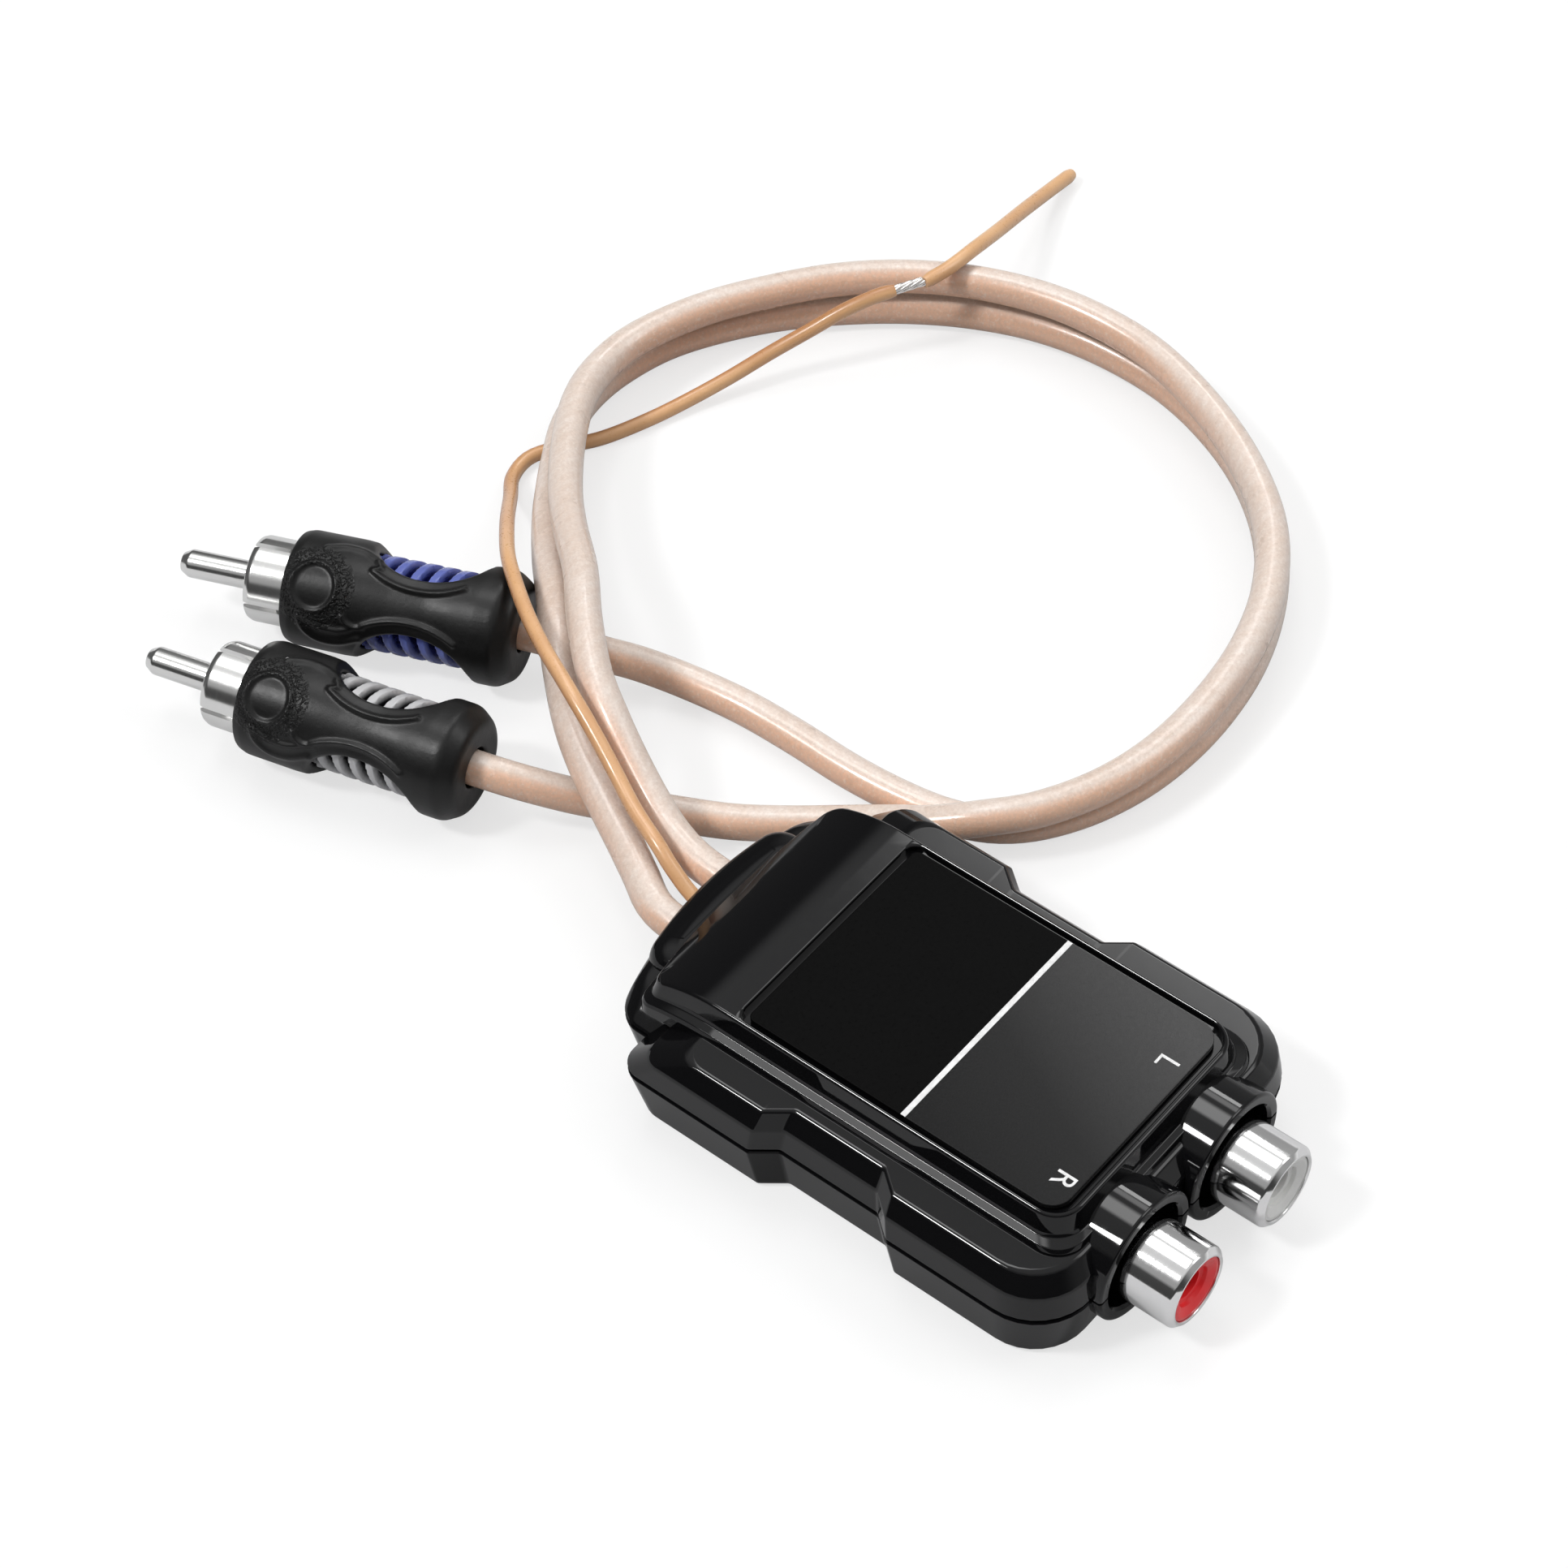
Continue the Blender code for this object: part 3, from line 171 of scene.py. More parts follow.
ROUTE_SLUG = (
    (79.5, 69.4, 9.25), (83.1, 68.7, 9.2), (87.4, 68.7, 8.7), (93, 69.6, 6.8), (98.9, 70.8, 4.6),
    (104.9, 71.9, 2.4), (110.3, 72.5, 0.9),
)


# Meshes and pieces

def scene_object(name, data):
    made = bpy.data.objects.new(name, data)
    bpy.context.scene.collection.objects.link(made)
    return made


def from_bmesh(name, bm, smooth=30.0):
    bmesh.ops.recalc_face_normals(bm, faces=bm.faces)
    mesh = bpy.data.meshes.new(name)
    bm.to_mesh(mesh)
    bm.free()
    mesh.shade_smooth()
    mesh.set_sharp_from_angle(angle=radians(smooth))
    return scene_object(name, mesh)


def applied(made, smooth=30.0):
    """Makes the modifiers part of the mesh."""
    bpy.context.view_layer.update()
    shape = made.evaluated_get(bpy.context.evaluated_depsgraph_get())
    mesh = bpy.data.meshes.new_from_object(shape)
    mesh.validate()
    made.modifiers.clear()
    made.data = mesh
    mesh.shade_smooth()
    mesh.set_sharp_from_angle(angle=radians(smooth))
    return made


def carve(base, steps):
    """steps are (operation, cutters), done in that order with exact Booleans."""
    tools = [(operation, cutter) for operation, cutters in steps for cutter in cutters]
    for operation, cutter in tools:
        step = base.modifiers.new(cutter.name, "BOOLEAN")
        step.operation = operation
        step.object = cutter
        step.solver = "EXACT"
    applied(base)
    for _, cutter in tools:
        bpy.data.objects.remove(cutter)
    return base


def even_normals(made):
    """Keeps the flat faces flat where they meet a rounded edge."""
    step = made.modifiers.new("even normals", "WEIGHTED_NORMAL")
    step.keep_sharp = True
    step.weight = 80
    return made


def vertex_values(mesh, kind):
    values = np.empty(len(mesh.vertices) * 3)
    mesh.vertices.foreach_get(kind, values)
    return values


def place(made, paint, replaced=(), slot=None, matrix=None):
    """Puts a shape that was made in millimetres into the frame, on the root body.

    With a matrix, the shape keeps its own metres as the attribute "local" for its material.
    """
    mesh = made.data
    if matrix is None:
        mesh.transform(TO_FRAME)
    else:
        local = mesh.attributes.new("local", "FLOAT_VECTOR", "POINT")
        local.data.foreach_set("vector", vertex_values(mesh, "co") * MM)
        mesh.transform(matrix @ Matrix.Scale(MM, 4))
    return dress(made, paint, replaced)


def dress(made, paint, replaced=()):
    made.data.materials.clear()
    made.data.materials.append(paint)
    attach(made, "root")
    if replaced:
        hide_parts(*replaced)
    return made


# Outlines and lofts

def fillet(points, steps=8):
    """An open line through (x, y, radius) points with its corners rounded.

    A corner that is nearly straight, or has no radius, stays as it is.
    """
    line = [Vector(points[0][:2])]
    for before, here, after in zip(points, points[1:], points[2:]):
        corner = Vector(here[:2])
        radius = here[2]
        a = (Vector(before[:2]) - corner).normalized()
        b = (Vector(after[:2]) - corner).normalized()
        half = a.angle(b) / 2
        if radius <= 0 or half > 1.56:
            line.append(corner)
            continue
        middle = corner + (a + b).normalized() * (radius / sin(half))
        first = corner + a * (radius / tan(half)) - middle
        last = corner + b * (radius / tan(half)) - middle
        turn = first.angle(last)
        for k in range(steps + 1):
            share = k / steps
            spot = first * sin((1 - share) * turn) + last * sin(share * turn)
            line.append(middle + spot / sin(turn))
    line.append(Vector(points[-1][:2]))
    return [(p.x, p.y) for p in line]


def curved(points, steps):
    """A smooth line through the points."""
    spots = [Vector(point) for point in points]
    spots = [spots[0] * 2 - spots[1]] + spots + [spots[-1] * 2 - spots[-2]]
    line = []
    for a, b, c, d in zip(spots, spots[1:], spots[2:], spots[3:]):
        for k in range(steps):
            t = k / steps
            bend = (a * 2 - b * 5 + c * 4 - d) * t * t + (b * 3 - a - c * 3 + d) * t**3
            line.append((b * 2 + (c - a) * t + bend) / 2)
    return line + [spots[-2]]


def join_rings(bm, rings):
    """Faces from each ring of vertices to the next, without corners that fall together."""
    for low, high in zip(rings, rings[1:]):
        for k in range(len(low)):
            n = (k + 1) % len(low)
            corners = dict.fromkeys((low[k], low[n], high[n], high[k]))
            if len(corners) > 2:
                bm.faces.new(corners)


def loft(name, rings):
    """A body symmetric about x = 0 through half outlines, each from its front to its rear."""
    bm = bmesh.new()
    rings = [[point for point in ring if abs(point[0]) > 1e-6] for ring in rings]
    right = [[bm.verts.new(point) for point in ring] for ring in rings]
    left = [[bm.verts.new((-x, y, z)) for x, y, z in ring] for ring in rings]
    for low in range(len(rings) - 1):
        a, b, c, d = right[low], right[low + 1], left[low], left[low + 1]
        for i in range(len(a) - 1):
            bm.faces.new((a[i], a[i + 1], b[i + 1], b[i]))
            bm.faces.new((c[i + 1], c[i], d[i], d[i + 1]))
        bm.faces.new((c[0], a[0], b[0], d[0]))
        bm.faces.new((a[-1], c[-1], d[-1], b[-1]))
    for end in (0, -1):
        r, l = right[end], left[end]
        for i in range(len(r) - 1):
            bm.faces.new((r[i], l[i], l[i + 1], r[i + 1]))
    return from_bmesh(name, bm)


def between(table, value):
    """Straight-line reading of a table of (value, result)."""
    for (a, x), (b, y) in zip(table, table[1:]):
        if value <= b:
            return x + (y - x) * max(0.0, value - a) / (b - a)
    return table[-1][1]


def wing_ring(inset, z, back, top_inset=9.0, wall=0.0):
    """Half outline of the housing with its waist, which widens downwards."""
    half = WING_HALF - inset - wall
    waist = half - WAIST_DEPTH
    front = WING_FRONT + inset + wall
    rear = WING_REAR - back - wall - max(0.0, inset - top_inset)
    spread = WAIST_SPREAD * (DECK - max(z, AXIS))
    a, b, c, d = WAIST_BENDS
    line = [
        (0, front, 0), (half, front, 6.4 - inset / 2 - wall), (half, a - spread, 0.5), (waist, b - spread, 0.9),
        (waist, c + spread, 0.9), (half, d + spread, 0.5), (half, rear, 2.4), (0, rear, 0),
    ]
    return [(x, y, z) for x, y in fillet(line)]


def bowed_end(half, rear, corner, bow):
    """Right half of a rear edge that bows out in the middle, from its side to the middle."""
    line = []
    for k in range(9):
        turn = radians(90 * k / 8)
        line.append((half - corner + corner * cos(turn), rear - corner + corner * sin(turn)))
    line += [(half * (0.8 - 0.07 * k), rear) for k in range(12)]
    return [(x, y - bow * (x / half) ** 2) for x, y in line]


def nose_ring(inset, rear_inset, z, side=NOSE_HALF):
    """Half outline of the rear end, from under the raised top to its bowed rear."""
    half = side - inset
    bow = 3.0 * (half / NOSE_HALF) ** 2
    line = [(half, 16.0)] + bowed_end(half, NOSE_REAR - rear_inset, 2.0, bow)
    return [(x, y, z) for x, y in line]


# How far the raised top's rear falls, as a share for each height
PLATEAU_FALL = ((10.6, 0.3), (12.1, 0.5), (12.6, 0.55), (12.8, 0.6), (13.1, 0.62), (14.7, 1.0), (16.0, 1.0))


def plateau_ring(spread, z):
    """Half outline of the raised top, whose rear bends down to the nose."""
    half = PLATEAU_HALF + spread
    front = PLATEAU_FRONT - spread * 0.9
    rear = PLATEAU_REAR + spread * 0.4
    line = fillet([(0, front, 0), (half, front, 3.2), (half, 20.0, 0)], 12)[:-1]
    line += [(half, y) for y in range(-14, 20, 3)]
    line += [(half, PLATEAU_BEND + (rear - 23.4) * k / 14) for k in range(14)]
    line += bowed_end(half, rear, 1.4, 1.4)
    drop = between(PLATEAU_FALL, z) * PLATEAU_DROP
    reach = PLATEAU_REAR - PLATEAU_BEND
    return [(x, y, z - drop * (max(0.0, y - PLATEAU_BEND) / reach) ** 2) for x, y in line]


def box(name, x, y, z):
    bm = bmesh.new()
    bmesh.ops.create_cube(bm, size=1.0)
    bmesh.ops.scale(bm, vec=[high - low for low, high in (x, y, z)], verts=bm.verts)
    bmesh.ops.translate(bm, vec=[(high + low) / 2 for low, high in (x, y, z)], verts=bm.verts)
    return from_bmesh(name, bm)


def circle(sides):
    """Cosine and sine of evenly spaced turns."""
    return [(cos(2 * pi * k / sides), sin(2 * pi * k / sides)) for k in range(sides)]


def spun(name, profile, sides, matrix=None):
    """Turns a closed profile of (radius, height) points round the z axis."""
    bm = bmesh.new()
    rings = []
    for r, z in profile:
        if r < 1e-6:
            rings.append([bm.verts.new((0, 0, z))] * sides)
        else:
            rings.append([bm.verts.new((r * c, r * s, z)) for c, s in circle(sides)])
    join_rings(bm, rings + rings[:1])
    made = from_bmesh(name, bm)
    if matrix is not None:
        made.data.transform(matrix)
    return made


def along_y(x, y, z):
    """Turns the z axis to face the front, at that point."""
    return Matrix.Translation((x, y, z)) @ Matrix.Rotation(pi / 2, 4, "X")


# Housing

# How far the wings' rear ends stand back, for each height
UPPER_REAR = ((7.25, 0.0), (10.3, 2.83), (11.9, 6.3))
SIDES = (("right", -JACK_X), ("left", JACK_X))


def upper_wing():
    side = fillet([(0.42, 6.6, 0), (0, 7.25, 0.12), (0.35, 9.95, 1.0), (1.75, DECK, 0.7), (5.0, DECK, 0)], 7)
    return loft("housing_upper", [wing_ring(inset, z, between(UPPER_REAR, z), 1.6) for inset, z in side])


def upper_nose():
    """The sloping shoulders, and the raised middle over the cables."""
    slope = [(0.0, 0.0, 7.25), (0.4, 0.02, 7.62), (1.7, 0.35, 8.5), (3.2, 0.95, 9.2), (4.7, 2.2, 9.5)]
    crest = [(0.5, 0.6, 7.35), (0.02, 0.26, 8.3), (0.3, 0.5, 9.8), (0.95, 1.25, 10.65), (1.9, 3.4, 11.1)]
    rings = [nose_ring(0.42, 0.42, 6.6)] + [nose_ring(*spot) for spot in curved(slope, 5)]
    high = [nose_ring(*spot, CREST_HALF) for spot in curved(crest, 5)]
    return [loft("nose", rings), loft("nose_crest", high)]


def plateau():
    side = [
        (1.7, 10.6, 0), (1.6, 12.1, 0.25), (1.4, 12.55, 0.18), (0.6, 12.75, 0.2),
        (0.45, 13.1, 0.3), (0.0, HEIGHT, 0.42), (-2.0, HEIGHT, 0),
    ]
    return loft("plateau", [plateau_ring(spread, z) for spread, z in fillet(side, 5)])


def hoods():
    made = []
    for side, x in SIDES:
        profile = fillet(
            [(0, 0, 0), (HOOD_RADIUS, 0, 0.35), (HOOD_RADIUS, -HOOD_DEPTH, 0), (0, -HOOD_DEPTH, 0)], 5
        )
        made.append(spun(f"hood_{side}", profile, 96, along_y(x, HOOD_FRONT, AXIS)))
    return made


def openings():
    made = []
    for side, x in SIDES:
        profile = [(0, 1.0), (HOOD_BORE + 1.3, 1.0)]
        profile += fillet([(HOOD_BORE + 0.3, 0, 0), (HOOD_BORE, -0.3, 0.2), (HOOD_BORE, -BORE_DEPTH, 0)], 3)
        profile.append((0, -BORE_DEPTH))
        made.append(spun(f"bore_{side}", profile, 96, along_y(x, HOOD_FRONT, AXIS)))
        hole = [(0, 1.0), (SHANK_HOLE, 1.0), (SHANK_HOLE, -3.2), (0, -3.2)]
        made.append(spun(f"shank_{side}", hole, 32, along_y(x, BULKHEAD, AXIS)))
    made.append(box("grommet_pocket", (-7.2, 7.2), (22.2, 31.7), (AXIS - 3.2, AXIS + 3.2)))
    cords = (("left", CORD_X, CABLE_RADIUS), ("earth", 0.0, WIRE_RADIUS), ("right", -CORD_X, CABLE_RADIUS))
    for name, x, radius in cords:
        wide = radius + GAP
        profile = fillet([(wide, 5.0, 0), (wide, 0.35, 0.3), (wide + 0.8, -0.45, 0), (0, -0.45, 0)], 4)
        made.append(spun(f"exit_{name}", profile + [(0, 5.0)], 32, along_y(x, NOSE_REAR, AXIS)))
    return made


def plate(name, half, end, corners, levels):
    """A flat piece with a front and a rear corner radius, through (height, growth) levels."""
    rings = []
    for z, growth in levels:
        x, y = half + growth, end + growth
        line = fillet([(0, -y, 0), (x, -y, corners[0]), (x, y, corners[1]), (0, y, 0)])
        rings.append([(*spot, z) for spot in line])
    return loft(name, rings)


def label_recess():
    levels = ((14.3, 0.0), (15.02, 0.0), (15.12, 0.05), (15.18, 0.14), (15.3, 0.34))
    return plate("label_recess", RECESS_HALF, RECESS_END, (2.5, 1.3), levels)


def chamber(name, low, high):
    """The room inside the walls, from the bulkhead back."""
    rings = []
    for z, inset in (low, high):
        ring = wing_ring(inset, z, ROOM_REAR, wall=ROOM_WALL)
        rings.append([(x, max(y, ROOM_FRONT + (y - WING_FRONT) * 0.02), z) for x, y, z in ring])
    return loft(name, rings)


def screw_cutters(low, high, radius):
    """A round plug at each screw, to cut a hole or to add a post."""
    made = []
    for x in (-SCREW_X, SCREW_X):
        for y in SCREW_Y:
            profile = [(0, high), (radius, high), (radius, low), (0, low)]
            made.append(spun("screw_hole", profile, 24, Matrix.Translation((x, y, 0))))
    return made


def housing_upper():
    body = upper_wing()
    trim = box("trim", (-60, 60), (-60, 60), (-20, SEAM_UP))
    room = chamber("room", (SEAM_UP - 1.0, 0.0), (DECK - 1.8, 0.85))
    dome = box("dome", (-12.1, 12.1), (-18.0, 24.3), (SEAM_UP, 13.0))
    steps = [
        ("UNION", upper_nose() + [plateau()] + hoods()),
        ("DIFFERENCE", [trim, room, dome, label_recess()] + openings()),
        ("UNION", screw_cutters(SEAM_UP, 10.9, 2.4)),
        ("DIFFERENCE", screw_cutters(SEAM_UP - 1, 10.1, 1.4)),
    ]
    return even_normals(carve(body, steps))


def lower_rings(ring):
    side = fillet([(4.0, 0, 0), (1.15, 0, 1.1), (0, 6.55, 0.12), (0.42, 7.2, 0)], 7)
    return [ring(inset, z) for inset, z in side]


def housing_lower():
    body = loft("housing_lower", lower_rings(lambda inset, z: wing_ring(inset, z, 0.0, 0.0)))
    nose = loft("lower_nose", lower_rings(lambda inset, z: nose_ring(inset, inset, z)))
    trim = box("trim", (-60, 60), (-60, 60), (SEAM_LOW, 30))
    room = chamber("room", (1.6, 1.0), (SEAM_LOW + 1.0, 0.0))
    steps = [
        ("UNION", [nose] + hoods()),
        ("DIFFERENCE", [trim, room] + openings()),
        ("UNION", screw_cutters(0.8, SEAM_LOW, 3.2)),
        ("DIFFERENCE", screw_cutters(-1.0, 1.9, 2.6) + screw_cutters(-1.0, 9.0, 1.4)),
    ]
    return even_normals(carve(body, steps))


def label_face():
    """The label, cut across so that its halves can have their own materials."""
    levels = ((14.6, 0.0), (15.02, 0.0), (15.08, -0.03), (LABEL_TOP, -0.1))
    face = plate("label_face", LABEL_HALF, LABEL_END, (2.2, 0.8), levels)
    bm = bmesh.new()
    bm.from_mesh(face.data)
    whole = bm.verts[:] + bm.edges[:] + bm.faces[:]
    bmesh.ops.bisect_plane(bm, geom=whole, plane_co=(0, LABEL_SPLIT, 0), plane_no=(0, 1, 0))
    bm.to_mesh(face.data)
    bm.free()
    return even_normals(face)


def divider():
    return box("label_divider", (-12.72, 12.72), (-0.68, -0.12), (LABEL_TOP - 0.02, LABEL_TOP + 0.03))


def letter(name, text, x, y):
    """A flat letter on the label, which reads from the front of the housing."""
    curve = bpy.data.curves.new(name, "FONT")
    curve.body = text
    curve.size = MARK_SIZE
    curve.extrude = 0.02
    curve.align_x = curve.align_y = "CENTER"
    made = scene_object(name, curve)
    bpy.context.view_layer.update()
    mesh = bpy.data.meshes.new_from_object(made.evaluated_get(bpy.context.evaluated_depsgraph_get()))
    bpy.data.objects.remove(made)
    mesh.transform(Matrix.Translation((x, y, LABEL_TOP + 0.01)) @ Matrix.Rotation(pi, 4, "Z"))
    return scene_object(name, mesh)


# Jacks

def jack_sleeve(side, x):
    profile = [
        (3.45, -1.0, 0), (3.45, -0.05, 0.12), (3.75, 0.0, 0.15), (4.3, -0.55, 0.45),
        (4.3, -9.65, 0), (3.4, -9.65, 0), (3.4, -14.2, 0), (2.6, -14.2, 0), (2.6, -9.05, 0),
        (3.45, -8.45, 0),
    ]
    profile = fillet(profile, 6)
    return spun(f"jack_barrel_{side}", profile, 96, along_y(x, JACK_FACE, AXIS))


def jack_insert(side, x):
    profile = [
        (2.4, -7.9, 0), (2.4, -1.15, 0), (1.58, -1.15, 0), (1.58, -4.2, 0), (1.48, -4.2, 0),
        (1.48, -1.05, 0.05), (2.05, -0.98, 0.08), (2.15, -0.58, 0.12), (3.05, -0.2, 0.2),
        (3.42, -0.24, 0.05), (3.42, -0.9, 0), (3.15, -1.0, 0), (3.15, -7.9, 0),
    ]
    profile = fillet(profile, 4)
    return spun(f"jack_insert_{side}", profile, 64, along_y(x, JACK_FACE, AXIS))


# Plugs, in their own frame: z runs to the pin, y to the strap that faces up

def plug_matrix(x, y, degrees):
    along = Vector((-sin(radians(degrees)), cos(radians(degrees)), 0))
    view = Vector(STRAP_VIEW)
    up = (view - along * view.dot(along)).normalized()
    side = up.cross(along)
    turn = Matrix((side, up, along)).transposed().to_4x4()
    return Matrix.Translation((x, y + SHIFT_Y, PLUG_AXIS_Z)) @ turn


def window_lip(side, first, last):
    """Points beside a window's edge, as (distance from the front, side)."""
    spots = []
    for k in range(61):
        turn = radians(first + (last - first) * k / 60)
        spots.append((WINDOW_MID - LIP_LONG * cos(turn), side * (WINDOW_OUT - LIP_DEEP * sin(turn))))
    return spots


def grip_lines():
    """The raised lines on a strap, each as (points, height)."""

    def smooth(points):
        return [tuple(p) for p in curved(points, 24)]

    lines = [
        (window_lip(1, 52, 128), 0.40),
        (window_lip(-1, 52, 128), 0.40),
        (smooth([(9.2, 2.9), (9.9, 3.3), (9.35, 3.9)]), 0.32),
        (smooth([(7.0, -2.3), (7.5, -2.9), (8.4, -3.15), (9.4, -2.95)]), 0.34),
        (smooth([(3.6, 4.3), (5.6, 4.75), (7.8, 4.6), (9.6, 3.9)]), 0.28),
        (smooth([(2.3, -3.2), (4.4, -3.75), (6.6, -3.8), (8.2, -3.3)]), 0.30),
        (smooth([(2.3, -3.2), (2.9, -4.3), (4.4, -5.0), (6.6, -4.95), (8.9, -4.2)]), 0.30),
    ]
    turns = [2 * pi * k / 90 for k in range(91)]
    ring = [(RING_AT + RING_RADIUS * cos(turn), 0.1 + RING_RADIUS * sin(turn)) for turn in turns]
    return lines + [(ring, 0.34)]


def emboss(mesh):
    """Lifts the strap's lines out of the rubber, on its outer skin only."""
    spots, normals = (vertex_values(mesh, kind).reshape(-1, 3) for kind in ("co", "normal"))
    outward = (spots[:, 0] * normals[:, 0] + spots[:, 1] * normals[:, 1]) / np.hypot(spots[:, 0], spots[:, 1])
    facing = np.where(spots[:, 1] > 0, 1.0, -1.0)
    flat = np.stack([-spots[:, 2], -spots[:, 0] * facing], axis=1)
    lift = np.zeros(len(spots))
    open_side = np.clip((outward - 0.5) * 4, 0, 1) * np.clip((np.abs(spots[:, 1]) - 0.8) * 2, 0, 1)
    for line, height in grip_lines():
        nearest = np.full(len(spots), 1e9)
        for spot in line:
            nearest = np.minimum(nearest, np.hypot(flat[:, 0] - spot[0], flat[:, 1] - spot[1]))
        lift = np.maximum(lift, height * np.exp(-((nearest / LINE_WIDTH) ** 2)))
    spots += normals * (lift * open_side)[:, None]
    mesh.vertices.foreach_set("co", spots.ravel())
    mesh.update()


def boot(name):
    profile = [
        (5.0, -0.2, 0), (5.05, 0.0, 0.1), (5.75, 0.0, 0.3), (6.05, -1.0, 1.0),
        (6.08, -6.5, 6.0), (5.78, -11.5, 9.0), (5.72, -15.5, 9.0), (6.12, -20.8, 5.0),
        (6.12, -23.0, 1.6), (5.0, -24.8, 1.3), (BOOT_HOLE, -24.8, 0.2), (BOOT_HOLE, -22.5, 0),
        (5.12, -22.4, 0), (5.12, -8.3, 0), (4.85, -8.2, 0), (4.85, -0.3, 0),
    ]
    profile = fillet(profile, 6)
    body = spun(f"{name}_grip", profile, 96)
    windows = []
    for side in (-1, 1):
        rim = [(side * WINDOW_OUT + WINDOW_DEEP * c, -WINDOW_MID + WINDOW_LONG * s) for c, s in circle(64)]
        bm = bmesh.new()
        near = [bm.verts.new((x, -10, z)) for x, z in rim]
        far = [bm.verts.new((x, 10, z)) for x, z in rim]
        bm.faces.new(near)
        bm.faces.new(far)
        join_rings(bm, [near, far])
        windows.append(from_bmesh("window", bm))
    carve(body, [("DIFFERENCE", windows)])
    skin = body.modifiers.new("skin", "REMESH")
    skin.mode = "VOXEL"
    skin.voxel_size = 0.17
    soften = body.modifiers.new("soften", "SMOOTH")
    soften.factor = 0.5
    soften.iterations = 5
    applied(body, 180)
    emboss(body.data)
    return body


def inner_sleeve(name):
    """The ribbed sleeve, whose ribs lean over, with a collar at its front."""
    bm = bmesh.new()
    turns = circle(96)
    rows = round((SLEEVE_END - SLEEVE_START) / SLEEVE_STEP)
    rings = []
    for i in range(rows + 1):
        along = SLEEVE_START + (SLEEVE_END - SLEEVE_START) * i / rows
        ring = []
        for c, s in turns:
            shifted = along - WINDOW_MID + RIB_LEAN * s
            rib = max(-3, min(3, round(shifted / RIB_PITCH)))
            off = abs(shifted - RIB_PITCH * rib)
            rise = min(1.0, max(0.0, (RIB_WIDE / 2 + RIB_EDGE / 2 - off) / RIB_EDGE))
            rise = rise * rise * (3 - 2 * rise) if i <= rows - 2 else 0.0
            radius = COLLAR_RADIUS if along < COLLAR_END else RIB_ROOT + RIB_HEIGHT * rise
            ring.append(bm.verts.new((radius * c, radius * s, -along)))
        rings.append(ring)
    for z in (-SLEEVE_END, -SLEEVE_START):
        rings.append([bm.verts.new((BOOT_HOLE * c, BOOT_HOLE * s, z)) for c, s in turns])
    join_rings(bm, rings + rings[:1])
    return from_bmesh(f"{name}_ribbed_sleeve", bm, 60)


def plug_shell(name):
    profile = [
        (3.95, -7.7, 0), (3.95, 4.3, 0), (4.0, 4.5, 0.1), (4.3, 4.5, 0.25), (4.55, 3.9, 0.9),
        (4.55, -7.8, 0), (3.95, -7.8, 0),
    ]
    profile = fillet(profile, 6)[1:]
    shell = spun(f"{name}_earth_shell", profile, 96)
    slots = []
    for turn in (45, 135):
        slot = box("slot", (-0.3, 0.3), (-10, 10), (0.35, 6.0))
        slot.data.transform(Matrix.Rotation(radians(turn), 4, "Z"))
        slots.append(slot)
    return even_normals(carve(shell, [("DIFFERENCE", slots)]))


def plug_core(name):
    profile = fillet([(1.8, 0.2, 0), (1.8, 1.2, 0.1), (3.65, 1.2, 0.25), (3.65, -6.0, 0), (1.8, -6.0, 0)], 4)
    return spun(f"{name}_core", profile, 64)


def plug_pin(name):
    profile = fillet([(0, 12.8, 0), (1.0, 12.8, 0.2), (1.5, 11.9, 0.6), (1.5, -7.0, 0), (0, -7.0, 0)], 5)
    return spun(f"{name}_centre_pin", profile, 48)


# Cords

def smooth_route(points, spacing):
    """The part's own smooth curve through a route, in the frame's metres and evenly spaced."""
    shift = Vector((0, SHIFT_Y, 0))
    dense = curved([Vector([value * MM for value in point]) + shift for point in points], 12)
    total = sum((b - a).length for a, b in zip(dense, dense[1:]))
    count = max(3, round(total / spacing))
    even, walked, target = [dense[0]], 0.0, total / count
    for here, ahead in zip(dense, dense[1:]):
        run = (ahead - here).length
        while walked + run >= target - 1e-9 and len(even) < count:
            even.append(here.lerp(ahead, (target - walked) / run))
            target += total / count
        walked += run
    even.append(dense[-1])
    return even


def tube(name, path, radius, sides, rim=0.0):
    """A round tube whose UV map gives the turn round it and the length along it in metres.

    Its two ends are narrower by the rim.
    """
    bm = bmesh.new()
    unwrap = bm.loops.layers.uv.new("UVMap")
    rings, lengths, walked, side = [], [], 0.0, None
    for i, spot in enumerate(path):
        ahead = (path[min(i + 1, len(path) - 1)] - path[max(i - 1, 0)]).normalized()
        side = ahead.cross(Vector((0, 0, 1))) if side is None else side - ahead * side.dot(ahead)
        side.normalize()
        up = side.cross(ahead)
        walked += (spot - path[i - 1]).length if i else 0.0
        reach = radius if 0 < i < len(path) - 1 else radius - rim
        rings.append([bm.verts.new(spot + (side * c + up * s) * reach) for c, s in circle(sides)])
        lengths.append(walked)
    for i in range(len(rings) - 1):
        for k in range(sides):
            n = (k + 1) % sides
            face = bm.faces.new((rings[i][k], rings[i][n], rings[i + 1][n], rings[i + 1][k]))
            for loop, (u, v) in zip(face.loops, ((k, i), (k + 1, i), (k + 1, i + 1), (k, i + 1))):
                loop[unwrap].uv = (u / sides, lengths[v])
    bm.faces.new(rings[0])
    bm.faces.new(rings[-1])
    return from_bmesh(name, bm, 50)


